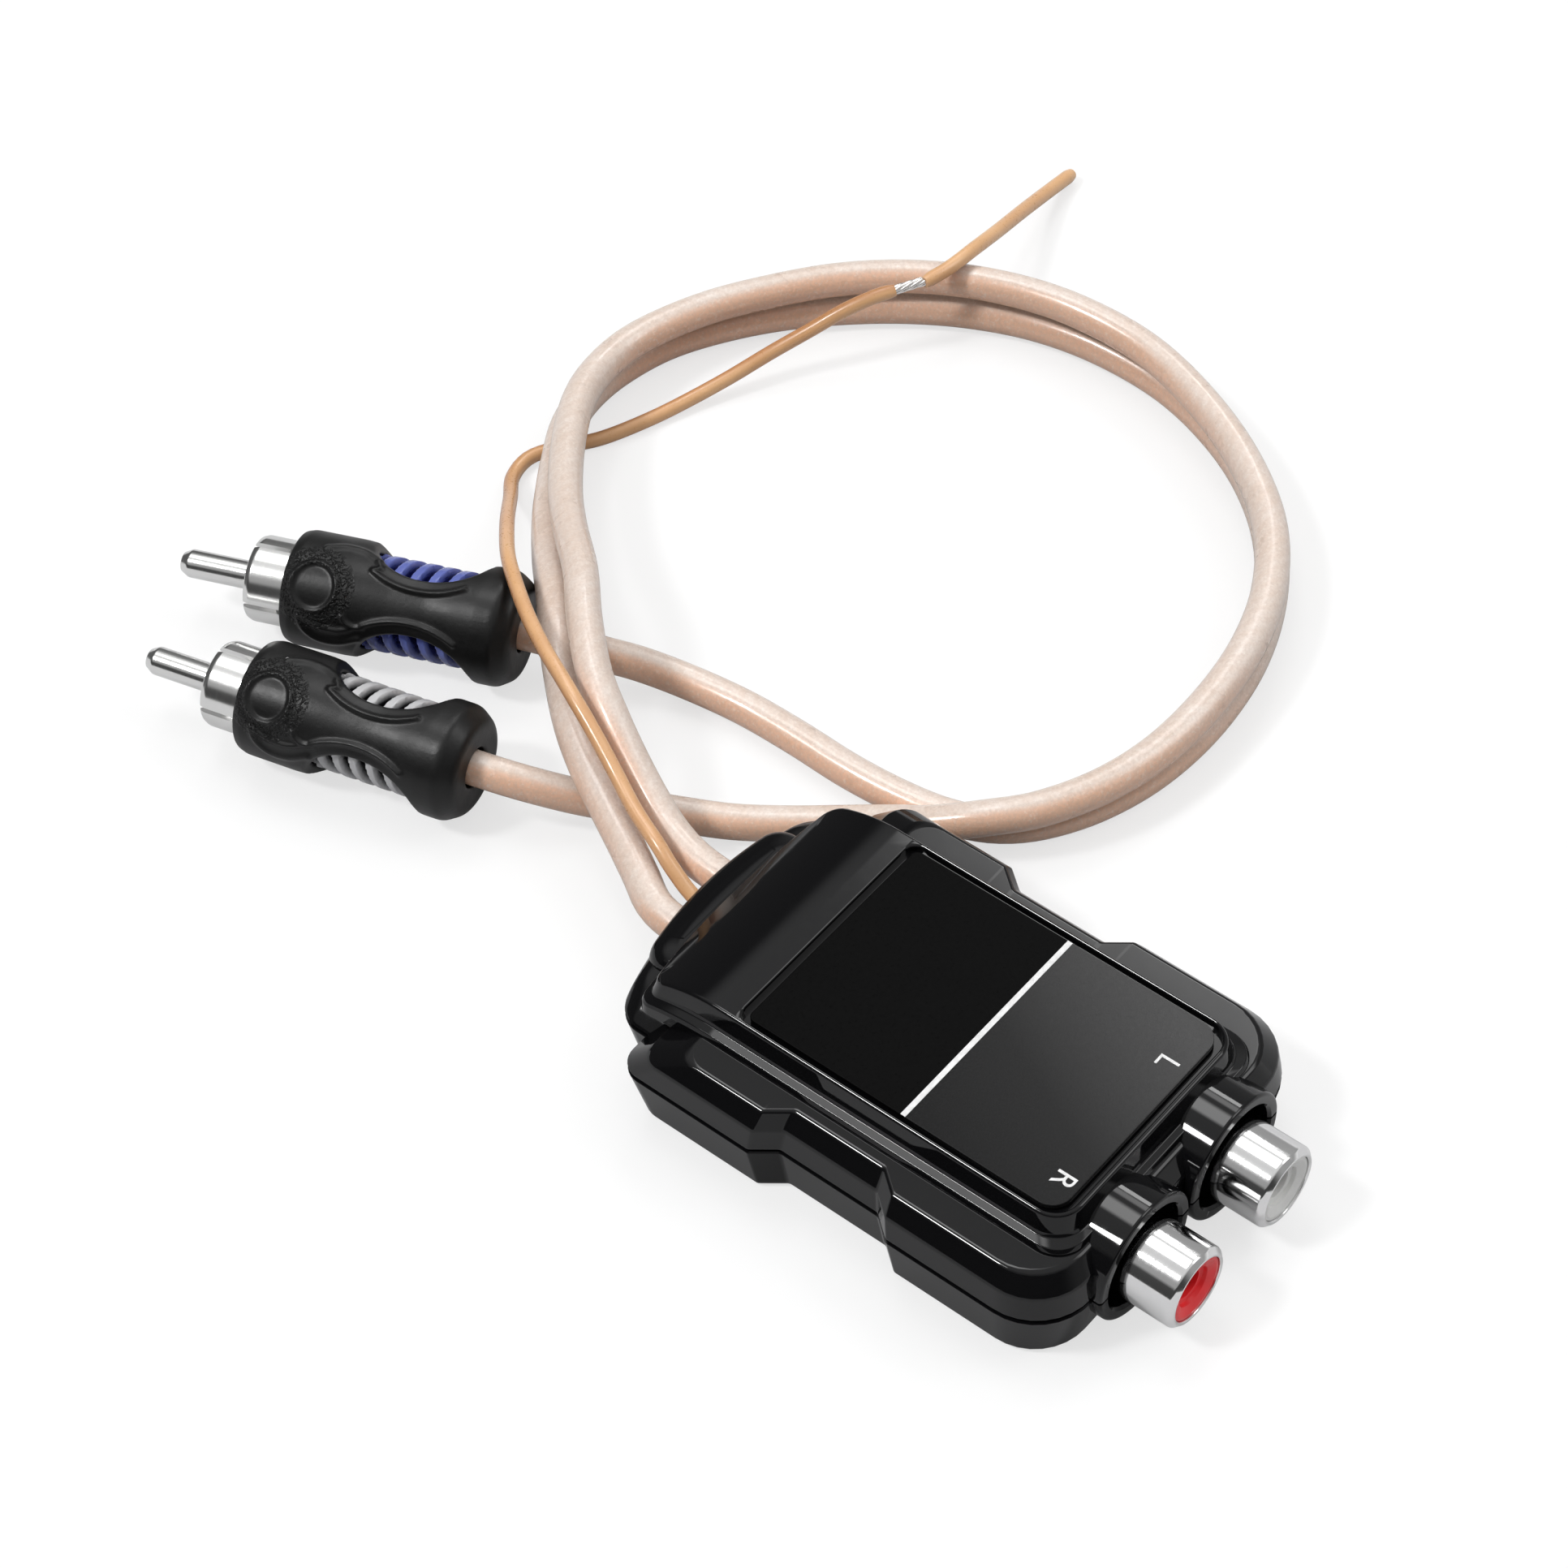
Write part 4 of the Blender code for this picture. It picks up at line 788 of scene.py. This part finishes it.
def strands(name, start, end, radius, turns):
    """Six fine wires twisted round a straight one."""
    ahead = (end - start).normalized()
    side = ahead.cross(Vector((0, 0, 1))).normalized()
    up = side.cross(ahead)
    bm = bmesh.new()
    made = []
    for k in range(6):
        line = []
        for i in range(25):
            share = i / 24
            turn = 2 * pi * (k / 6 + turns * share)
            line.append(start.lerp(end, share) + (side * cos(turn) + up * sin(turn)) * radius * 0.62)
        made.append(tube(f"strand_{k}", line, radius * 0.36, 8))
    made.append(tube("strand_core", [start.lerp(end, i / 4) for i in range(5)], radius * 0.34, 8))
    for piece in made:
        bm.from_mesh(piece.data)
        bpy.data.objects.remove(piece)
    return from_bmesh(name, bm, 50)


# Materials

class Tree:
    """Short ways to add the nodes that the materials, the floor and the world need."""

    def __init__(self, owner):
        owner.use_nodes = True
        self.made = owner
        self.nodes = owner.node_tree.nodes
        self.links = owner.node_tree.links
        self.place = None

    def join(self, source, target):
        self.links.new(source, target)
        return self

    def feed(self, socket, value):
        """Gives a socket a number, a colour or another node's result."""
        if isinstance(value, tuple):
            socket.default_value = (*value, 1.0)
        elif isinstance(value, (int, float)):
            socket.default_value = value
        else:
            self.links.new(value, socket)

    def stretched(self, scale):
        node = self.nodes.new("ShaderNodeMapping")
        node.inputs["Scale"].default_value = scale
        self.links.new(self.place, node.inputs["Vector"])
        return node.outputs["Vector"]

    def noise(self, scale, detail=3.0, rough=0.5, vector=None):
        node = self.nodes.new("ShaderNodeTexNoise")
        node.inputs["Scale"].default_value = scale
        node.inputs["Detail"].default_value = detail
        node.inputs["Roughness"].default_value = rough
        self.links.new(vector or self.place, node.inputs["Vector"])
        return node.outputs["Fac"]

    def ramp(self, value, stops):
        node = self.nodes.new("ShaderNodeValToRGB")
        line = node.color_ramp
        while len(line.elements) < len(stops):
            line.elements.new(0.5)
        for spot, (at, colour) in zip(line.elements, stops):
            spot.position = at
            spot.color = (*colour, 1.0) if isinstance(colour, tuple) else (colour, colour, colour, 1.0)
        self.links.new(value, node.inputs["Fac"])
        return node.outputs["Color"]

    def math(self, kind, a, b=0.0, c=0.0):
        node = self.nodes.new("ShaderNodeMath")
        node.operation = kind
        for socket, value in zip(node.inputs, (a, b, c)):
            self.feed(socket, value)
        return node.outputs[0]

    def mix(self, share, a, b):
        node = self.nodes.new("ShaderNodeMix")
        node.data_type = "RGBA"
        for socket, value in (("Factor", share), ("A", a), ("B", b)):
            self.feed(node.inputs[socket], value)
        return node.outputs["Result"]

    def split(self, vector=None):
        node = self.nodes.new("ShaderNodeSeparateXYZ")
        self.links.new(vector or self.place, node.inputs[0])
        return node.outputs

    def step(self, value, low, high):
        """0 on the low side, 1 on the high side and smooth between them; low may be the larger one."""
        node = self.nodes.new("ShaderNodeMapRange")
        node.interpolation_type = "SMOOTHSTEP"
        node.inputs["From Min"].default_value = min(low, high)
        node.inputs["From Max"].default_value = max(low, high)
        if low > high:
            node.inputs["To Min"].default_value = 1.0
            node.inputs["To Max"].default_value = 0.0
        self.links.new(value, node.inputs["Value"])
        return node.outputs[0]

    def background(self, glossy):
        """1 for what the camera sees directly or through something clear, glossy for reflections."""
        rays = self.nodes.new("ShaderNodeLightPath").outputs
        direct = self.math("MAXIMUM", rays["Is Camera Ray"], rays["Is Transmission Ray"])
        return self.math("MAXIMUM", direct, self.math("MULTIPLY", rays["Is Glossy Ray"], glossy))


class Paint(Tree):
    """A Principled material with a few nodes on it."""

    def __init__(self, name, colour, roughness, metallic=0.0, local=False, **sockets):
        super().__init__(bpy.data.materials.new(name))
        self.shader = self.nodes["Principled BSDF"]
        self.put("Base Color", (*colour, 1.0))
        self.put("Roughness", roughness)
        self.put("Metallic", metallic)
        for socket, value in sockets.items():
            self.put(socket.replace("_", " ").title().replace("Ior", "IOR"), value)
        self.coords = self.nodes.new("ShaderNodeTexCoord")
        self.place = self.coords.outputs["Object"]
        if local:
            own = self.nodes.new("ShaderNodeAttribute")
            own.attribute_name = "local"
            self.place = own.outputs["Vector"]

    def put(self, socket, value):
        self.shader.inputs[socket].default_value = value

    def colour(self, source):
        return self.join(source, self.shader.inputs["Base Color"])

    def roughness(self, value, low, high):
        return self.join(self.ramp(value, ((0.25, low), (0.75, high))), self.shader.inputs["Roughness"])

    def bump(self, height, distance, strength=1.0):
        node = self.nodes.new("ShaderNodeBump")
        node.inputs["Distance"].default_value = distance
        node.inputs["Strength"].default_value = strength
        self.links.new(height, node.inputs["Height"])
        if self.shader.inputs["Normal"].links:
            before = self.shader.inputs["Normal"].links[0].from_socket
            self.links.new(before, node.inputs["Normal"])
        return self.join(node.outputs["Normal"], self.shader.inputs["Normal"])


def tinted(colour, share):
    return tuple(min(1.0, c * share) for c in colour)


def gloss_black(name, shine):
    p = Paint(name, (0.0035, 0.0035, 0.004), 0.06, specular_ior_level=shine)
    p.roughness(p.noise(900, 4), 0.03, 0.08)
    p.bump(p.noise(160, 2), 0.00001, 0.5)
    return p.made


def label_ink():
    """The rear half, printed deep black."""
    p = Paint("label printed black", (0.0022, 0.0022, 0.0025), 0.32, specular_ior_level=0.03)
    grain = p.noise(2500, 2)
    p.colour(p.ramp(grain, ((0.3, 0.0018), (0.7, 0.0028))))
    p.roughness(grain, 0.26, 0.34)
    p.bump(grain, 0.000002, 0.15)
    return p.made


def label_satin():
    """The front half, satin black, with a painted reflection that grows lighter towards its outer corner."""
    p = Paint("label satin black, painted reflection", (0.012, 0.012, 0.013), 0.25, specular_ior_level=0.11)
    place = p.split()
    # painted reflection: the colour grows lighter across the label towards its outer front corner and stays
    # darkest near the divider
    painted_reflection_ramp = p.math("MULTIPLY_ADD", place["X"], 30.0, 0.42)
    painted_reflection_ramp = p.math("MULTIPLY_ADD", place["Y"], -14.0, painted_reflection_ramp)
    painted_reflection_tone = p.ramp(painted_reflection_ramp, ((0.0, 0.002), (0.5, 0.016), (1.0, 0.072)))
    grain = p.noise(2500, 2)
    p.colour(p.mix(p.math("MULTIPLY", grain, 0.3), painted_reflection_tone, (0.012, 0.012, 0.013)))
    p.roughness(grain, 0.24, 0.30)
    p.bump(grain, 0.000002, 0.15)
    return p.made


def print_white():
    p = Paint("printed white", (0.80, 0.80, 0.78), 0.45)
    p.colour(p.ramp(p.noise(1800, 3), ((0.3, 0.68), (0.7, 0.84))))
    p.bump(p.noise(4000, 2), 0.000005, 0.5)
    return p.made


def metal(name, colour, rough, axis):
    """Turned metal with fine rings round its axis, which is z in a plug's own frame."""
    p = Paint(name, colour, rough, 1.0, local=axis == 2)
    scale = tuple(5200.0 if k == axis else 14.0 for k in range(3))
    rings = p.noise(1.0, 4, 0.6, p.stretched(scale))
    cloud = p.noise(260, 3)
    p.colour(p.mix(cloud, tinted(colour, 0.94), tinted(colour, 1.05)))
    p.roughness(rings, rough * 0.7, rough * 1.4)
    p.bump(rings, 0.000004, 0.35)
    return p.made


def insert_plastic(name, colour):
    p = Paint(name, colour, 0.35, specular_ior_level=0.4)
    p.colour(p.mix(p.noise(700, 3), tinted(colour, 0.85), tinted(colour, 1.1)))
    p.roughness(p.noise(1500, 3), 0.28, 0.42)
    p.bump(p.noise(2600, 2), 0.00001, 0.4)
    return p.made


def rubber():
    """Soft black rubber, with a pebbled field round the raised ring."""
    p = Paint("boot rubber", (0.008, 0.008, 0.008), 0.42, local=True, specular_ior_level=0.34)
    fine = p.noise(2300, 4, 0.6)
    cloud = p.noise(240, 3)
    p.colour(p.mix(cloud, (0.0035, 0.0035, 0.0035), (0.008, 0.008, 0.008)))
    p.roughness(cloud, 0.32, 0.48)
    p.bump(fine, 0.00003, 0.5)
    place = p.split()
    across = p.math("MULTIPLY", place["X"], place["X"])
    along = p.math("ADD", place["Z"], RING_AT * MM)
    reach = p.math("MULTIPLY_ADD", along, along, across)
    field = p.ramp(p.math("MULTIPLY", reach, 50000.0), ((0.28, 0.0), (0.42, 1.0), (0.60, 1.0), (0.98, 0.0)))
    pebbles = p.ramp(p.noise(3400, 1.0, 0.3), ((0.45, 0.0), (0.60, 1.0)))
    p.bump(p.math("MULTIPLY", field, pebbles), 0.00018, 1.0)
    return p.made


def sleeve_plastic(name, deep, crest, through, rough):
    """Clear or tinted plastic, with painted shade: deep colour between the ribs, pale on their crests."""
    p = Paint(name, crest, rough, local=True, transmission_weight=through, ior=1.46)
    place = p.split()
    wide = p.math("MULTIPLY", place["X"], place["X"])
    wide = p.math("SQRT", p.math("MULTIPLY_ADD", place["Y"], place["Y"], wide))
    cloud = p.math("MULTIPLY_ADD", p.noise(700, 3), 0.0004, -0.0002)
    # painted shade: deep colour where the sleeve is narrow, between the ribs, and pale colour on the crests
    p.colour(p.mix(p.step(p.math("ADD", wide, cloud), 0.0041, 0.0050), deep, crest))
    p.roughness(p.noise(1200, 3), rough * 0.7, rough * 1.4)
    p.bump(p.noise(500, 2), 0.00001, 0.3)
    return p.made


def cable_jacket():
    """Clear jacket over a copper screen: greyish beige, with painted shade, a darker underside and a darker
    copper tone on the sides that face the front left while the top stays pale.
    """
    p = Paint("cable jacket", (0.74, 0.60, 0.51), 0.3, coat_weight=0.4, coat_roughness=0.10)
    uv = p.split(p.coords.outputs["UV"])
    lay = p.math("SINE", p.math("MULTIPLY", p.math("MULTIPLY_ADD", uv["Y"], 110.0, uv["X"]), 2 * pi * 5))
    # painted shade: the underside of the cable is darker
    under = p.step(p.math("SINE", p.math("MULTIPLY", uv["X"], 2 * pi)), 0.75, -0.7)
    drift = p.math("MULTIPLY_ADD", p.noise(130, 4, 0.6), 1.5, -0.25)
    # painted shade on the copper screen's real tone: the sides whose surface faces the front left, a fixed
    # direction, get the darker copper tone and the top stays pale
    facing = p.split(p.coords.outputs["Normal"])
    side = p.step(p.math("MULTIPLY_ADD", facing["Y"], 0.7, facing["X"]), -0.25, -0.80)
    tone = p.mix(drift, (0.73, 0.58, 0.48), (0.84, 0.76, 0.70))
    tone = p.mix(p.math("MULTIPLY", under, 0.6), tone, (0.55, 0.42, 0.325))
    tone = p.mix(p.math("MULTIPLY_ADD", lay, 0.06, 0.06), tone, (0.62, 0.40, 0.28))
    tone = p.mix(p.math("MULTIPLY", side, 0.85), tone, (0.83, 0.49, 0.32))
    grain = p.ramp(p.noise(3000, 2, 0.6), ((0.35, 0.0), (0.65, 1.0)))
    tone = p.mix(p.math("MULTIPLY", grain, 0.32), tone, (0.54, 0.41, 0.34))
    spark = p.ramp(p.noise(2600, 3), ((0.55, 0.0), (0.75, 1.0)))
    p.colour(p.mix(p.math("MULTIPLY", spark, 0.35), tone, (0.92, 0.87, 0.82)))
    p.roughness(drift, 0.24, 0.36)
    p.bump(grain, 0.00002, 0.35)
    return p.made


def wire_jacket():
    """Clear jacket over copper, darker along one side in a stripe that winds slowly round the wire."""
    p = Paint("earth wire jacket", (0.68, 0.42, 0.25), 0.3, coat_weight=0.4, coat_roughness=0.12)
    uv = p.split(p.coords.outputs["UV"])
    side = p.math("SINE", p.math("MULTIPLY", p.math("MULTIPLY_ADD", uv["Y"], 3.0, uv["X"]), 2 * pi))
    core = p.step(side, 0.2, -0.8)
    drift = p.math("MULTIPLY_ADD", p.noise(140, 4), 1.5, -0.25)
    tone = p.mix(drift, (0.63, 0.32, 0.14), (0.88, 0.55, 0.29))
    tone = p.mix(p.math("MULTIPLY", core, 0.8), tone, (0.42, 0.17, 0.06))
    grain = p.noise(3500, 3)
    p.colour(p.mix(p.math("MULTIPLY", grain, 0.35), tone, (0.58, 0.32, 0.16)))
    p.roughness(grain, 0.24, 0.38)
    p.bump(grain, 0.00002, 0.35)
    return p.made


def hidden_finish(name, colour, rough, metallic=0.0, scale=900.0, depth=0.00002):
    """For the pieces inside the housing."""
    p = Paint(name, colour, rough, metallic)
    cloud = p.noise(scale, 4)
    p.colour(p.mix(cloud, tinted(colour, 0.8), tinted(colour, 1.15)))
    p.roughness(cloud, rough * 0.8, min(1.0, rough * 1.25))
    p.bump(cloud, depth, 0.5)
    return p.made


def layered(name, colour, rough, metallic, axis, pitch, stops, depth, strength):
    """Thin layers or turns along one axis, for the cores and coils inside."""
    p = Paint(name, colour, rough, metallic)
    layers = p.math("SINE", p.math("MULTIPLY", p.split()[axis], 2 * pi / pitch))
    layers = p.math("MULTIPLY_ADD", layers, 0.5, 0.5)
    p.colour(p.ramp(layers, stops))
    p.bump(layers, depth, strength)
    return p.made


# The dressed object

def dress_housing():
    place(housing_upper(), gloss_black("upper shell black", 0.38), ["upper_shell"], "housing_black")
    place(housing_lower(), gloss_black("lower shell black", 0.12), ["lower_shell"], "housing_black")
    label = place(label_face(), label_ink(), ["label_plate"], "label_black")
    label.data.materials.append(label_satin())
    for face in label.data.polygons:
        face.material_index = int(face.center.y < SHIFT_Y + LABEL_SPLIT * MM)
    white = print_white()
    place(divider(), white)
    for side, text, x, y in MARKS:
        place(letter(f"label_mark_{side}", text, x, y), white)


def dress_jacks():
    nickel = metal("turned jack nickel", (0.82, 0.82, 0.82), 0.09, 1)
    tints = {"left": (0.80, 0.80, 0.78), "right": (0.93, 0.03, 0.036)}
    slots = {"left": "insert_white", "right": "insert_red"}
    for side, x in SIDES:
        place(jack_sleeve(side, x), nickel, [f"jack_sleeve_{side}"], "jack_nickel")
        insert = insert_plastic(f"jack insert {side}", tints[side])
        place(jack_insert(side, x), insert, [f"jack_insulator_{side}"], slots[side])


def dress_plug(name, spot, tint, slot):
    """Builds one plug, and returns the names of its pieces."""
    matrix = plug_matrix(*spot)
    core_white = insert_plastic("plug core", (0.55, 0.55, 0.54))
    nickel = metal("turned plug nickel", (0.82, 0.82, 0.81), 0.16, 2)
    place(boot(name), rubber(), [f"{name}_boot"], "boot_rubber", matrix)
    place(inner_sleeve(name), tint, [f"{name}_inner_sleeve"], slot, matrix)
    place(plug_shell(name), nickel, [f"{name}_shell"], "plug_nickel", matrix)
    place(plug_core(name), core_white, [f"{name}_insulator"], "plug_insulator", matrix)
    place(plug_pin(name), nickel, [f"{name}_pin"], "pin_nickel", matrix)
    ends = ("grip", "ribbed_sleeve", "earth_shell", "core", "centre_pin")
    return [f"{name}_{end}" for end in ends]


def dress_cords():
    jacket = cable_jacket()
    copper = wire_jacket()
    for side, route, x, length in (
        ("left", ROUTE_LEFT, CORD_X, LENGTH_LEFT),
        ("right", ROUTE_RIGHT, -CORD_X, LENGTH_RIGHT),
    ):
        path = smooth_route(route, 0.0011)
        cable = tube(f"cable_{side}", path, CABLE_RADIUS * MM, 28)
        dress(cable, jacket, [f"signal_cable_{side}"])
    bare = Paint("bare strands", (0.86, 0.84, 0.82), 0.25, 1.0)
    bare.roughness(bare.noise(2500, 3), 0.16, 0.36)
    bare.bump(bare.noise(5000, 2), 0.00001, 0.5)
    path = smooth_route(ROUTE_EARTH, 0.0008)
    slug = smooth_route(ROUTE_SLUG, 0.0008)
    wires = strands("bare_wires", path[-2], slug[1], STRANDS_RADIUS * MM, STRANDS_TURNS)
    dress(wires, bare.made, ["earth_wire_strands"])
    wire = tube("earth_lead", path, WIRE_RADIUS * MM, 20, WIRE_RIM * MM)
    dress(wire, copper, ["earth_wire"])
    cut = tube("earth_lead_slug", slug, WIRE_RADIUS * MM, 20, WIRE_RIM * MM)
    dress(cut, copper, ["earth_wire_slug"])


def dress_inside():
    finishes = {
        "circuit_board": hidden_finish("board laminate", (0.04, 0.20, 0.07), 0.45, 0.0, 1400),
        "cable_grommet": hidden_finish("grommet rubber", (0.016, 0.016, 0.016), 0.65),
    }
    steel = hidden_finish("screw steel", (0.52, 0.52, 0.52), 0.3, 1.0, 2200, 0.00001)
    tin = hidden_finish("contact nickel", (0.72, 0.71, 0.69), 0.25, 1.0, 2200, 0.00001)
    nylon = hidden_finish("bobbin nylon", (0.72, 0.69, 0.60), 0.5)
    stops = ((0.2, 0.12), (0.6, 0.32))
    core = layered("core laminations", (0.30, 0.29, 0.28), 0.45, 0.8, "Y", 0.00035, stops, 0.00003, 0.6)
    stops = ((0.15, (0.30, 0.10, 0.035)), (0.7, (0.68, 0.30, 0.12)))
    coil = layered("winding copper", (0.62, 0.26, 0.10), 0.35, 0.7, "Z", 0.0002, stops, 0.00004, 0.7)
    for side in ("left", "right"):
        finishes[f"transformer_core_{side}"] = core
        finishes[f"transformer_bobbin_{side}"] = nylon
        finishes[f"transformer_winding_{side}"] = coil
        finishes[f"jack_contact_{side}"] = tin
        finishes[f"jack_earth_tag_{side}"] = tin
        for end in ("front", "rear"):
            finishes[f"screw_{end}_{side}"] = steel
    for name, finish in finishes.items():
        NODES[name].data.materials.clear()
        NODES[name].data.materials.append(finish)


# Stage, light and camera

def floor():
    """A floor that lights the object as a grey one does, and looks near white with its shadow."""
    bm = bmesh.new()
    bmesh.ops.create_grid(bm, x_segments=1, y_segments=1, size=3.0)
    made = from_bmesh("floor", bm)
    made.location.z = -0.00002
    paint = Tree(bpy.data.materials.new("white floor"))
    shader = paint.nodes["Principled BSDF"]
    looked_at = paint.background(0.2)
    paint.join(paint.mix(looked_at, (0.46, 0.46, 0.47), (0.95, 0.95, 0.95)), shader.inputs["Base Color"])
    shader.inputs["Roughness"].default_value = 0.9
    shader.inputs["Specular IOR Level"].default_value = 0.0
    glow = paint.nodes.new("ShaderNodeEmission")
    glow.inputs["Strength"].default_value = 1.0
    mix = paint.nodes.new("ShaderNodeMixShader")
    paint.join(paint.math("MULTIPLY", looked_at, 0.68), mix.inputs["Fac"])
    paint.join(shader.outputs[0], mix.inputs[1])
    paint.join(glow.outputs[0], mix.inputs[2])
    paint.join(mix.outputs[0], paint.nodes["Material Output"].inputs["Surface"])
    made.data.materials.append(paint.made)


# Soft boxes overhead: where each begins and ends along x and y, its soft edge and its strength
SOFT_BOXES = (
    ((0.00, 0.34), (0.20, 0.46), 0.06, 6.0),
    ((0.50, 0.62), (0.12, 0.42), 0.03, 4.0),
    ((-0.53, -0.45), (0.16, 0.50), 0.015, 12.0),
    ((0.35, 0.62), (-0.70, -0.22), 0.05, 3.5),
)

# The ceiling's brightness from the horizon up, on each side
SKY_LEFT = (
    (0.0, 0.6), (0.02, 0.5), (0.05, 0.05), (0.45, 0.06), (0.55, 0.35), (0.70, 0.35), (0.85, 0.65), (1, 0.75)
)
SKY_RIGHT = ((0.0, 0.75), (0.06, 0.65), (0.14, 0.35), (0.60, 0.38), (0.74, 0.75), (1.0, 0.75))
SKY_BACK = 0.10


def studio():
    """A pale ceiling with soft boxes, dark at the back and low on the left."""
    world = bpy.data.worlds.new("studio")
    bpy.context.scene.world = world
    sky = Tree(world)
    towards = sky.split(sky.nodes.new("ShaderNodeTexCoord").outputs["Generated"])
    left, right = sky.ramp(towards["Z"], SKY_LEFT), sky.ramp(towards["Z"], SKY_RIGHT)
    light = sky.mix(sky.step(towards["X"], -0.25, 0.25), left, right)
    back = sky.math("MULTIPLY", sky.step(towards["Y"], 0.52, 0.68), sky.step(towards["Z"], 0.75, 0.6))
    light = sky.mix(back, light, (SKY_BACK,) * 3)
    above = sky.step(towards["Z"], 0.0, 0.2)
    for across, deep, soft, strength in SOFT_BOXES:
        share = above
        for axis, (low, high) in (("X", across), ("Y", deep)):
            share = sky.math("MULTIPLY", share, sky.step(towards[axis], low - soft, low + soft))
            share = sky.math("MULTIPLY", share, sky.step(towards[axis], high + soft, high - soft))
        light = sky.mix(share, light, (strength,) * 3)
    backdrop = sky.background(sky.step(towards["Z"], 0.03, 0.0))
    light = sky.mix(backdrop, light, (1.0, 1.0, 1.0))
    sky.join(light, sky.nodes["Background"].inputs["Color"])


def key_light(name, towards, strength, degrees):
    """A small far lamp, for the thin highlights along the edges."""
    light = bpy.data.lights.new(name, "SUN")
    light.energy = strength
    light.angle = radians(degrees)
    made = scene_object(name, light)
    made.rotation_mode = "QUATERNION"
    made.rotation_quaternion = Vector(towards).to_track_quat("Z", "Y")


def camera():
    made = scene_object("camera", bpy.data.cameras.new("camera"))
    made.location = CAMERA_SPOT
    made.rotation_mode = "QUATERNION"
    made.rotation_quaternion = CAMERA_TURN
    made.data.lens = CAMERA_LENS
    made.data.sensor_width = 36
    made.data.clip_start, made.data.clip_end = 0.01, 20
    bpy.context.scene.camera = made


# Each plug's sleeve: colour of the painted shade between the ribs, crest colour, share of light through it and
# roughness
PLUGS = (
    ("left", "clear", CLEAR_PLUG, (0.010, 0.010, 0.011), (0.95, 0.95, 0.97), 0.45, 0.04),
    ("right", "blue", BLUE_PLUG, (0.014, 0.016, 0.15), (0.26, 0.33, 0.96), 0.55, 0.07),
)

dress_housing()
dress_jacks()
for side, tint, spot, *look in PLUGS:
    sleeve = sleeve_plastic(f"{tint} sleeve", *look)
    dress_plug(f"{tint}_plug", spot, sleeve, f"sleeve_{tint}")
dress_cords()
dress_inside()
floor()
studio()
key_light("key left", (-0.48, 0.35, 0.80), 1.1, 9.0)
key_light("key right", (0.68, 0.34, 0.65), 0.10, 7.0)
camera()

bpy.context.scene.view_settings.view_transform = "Standard"
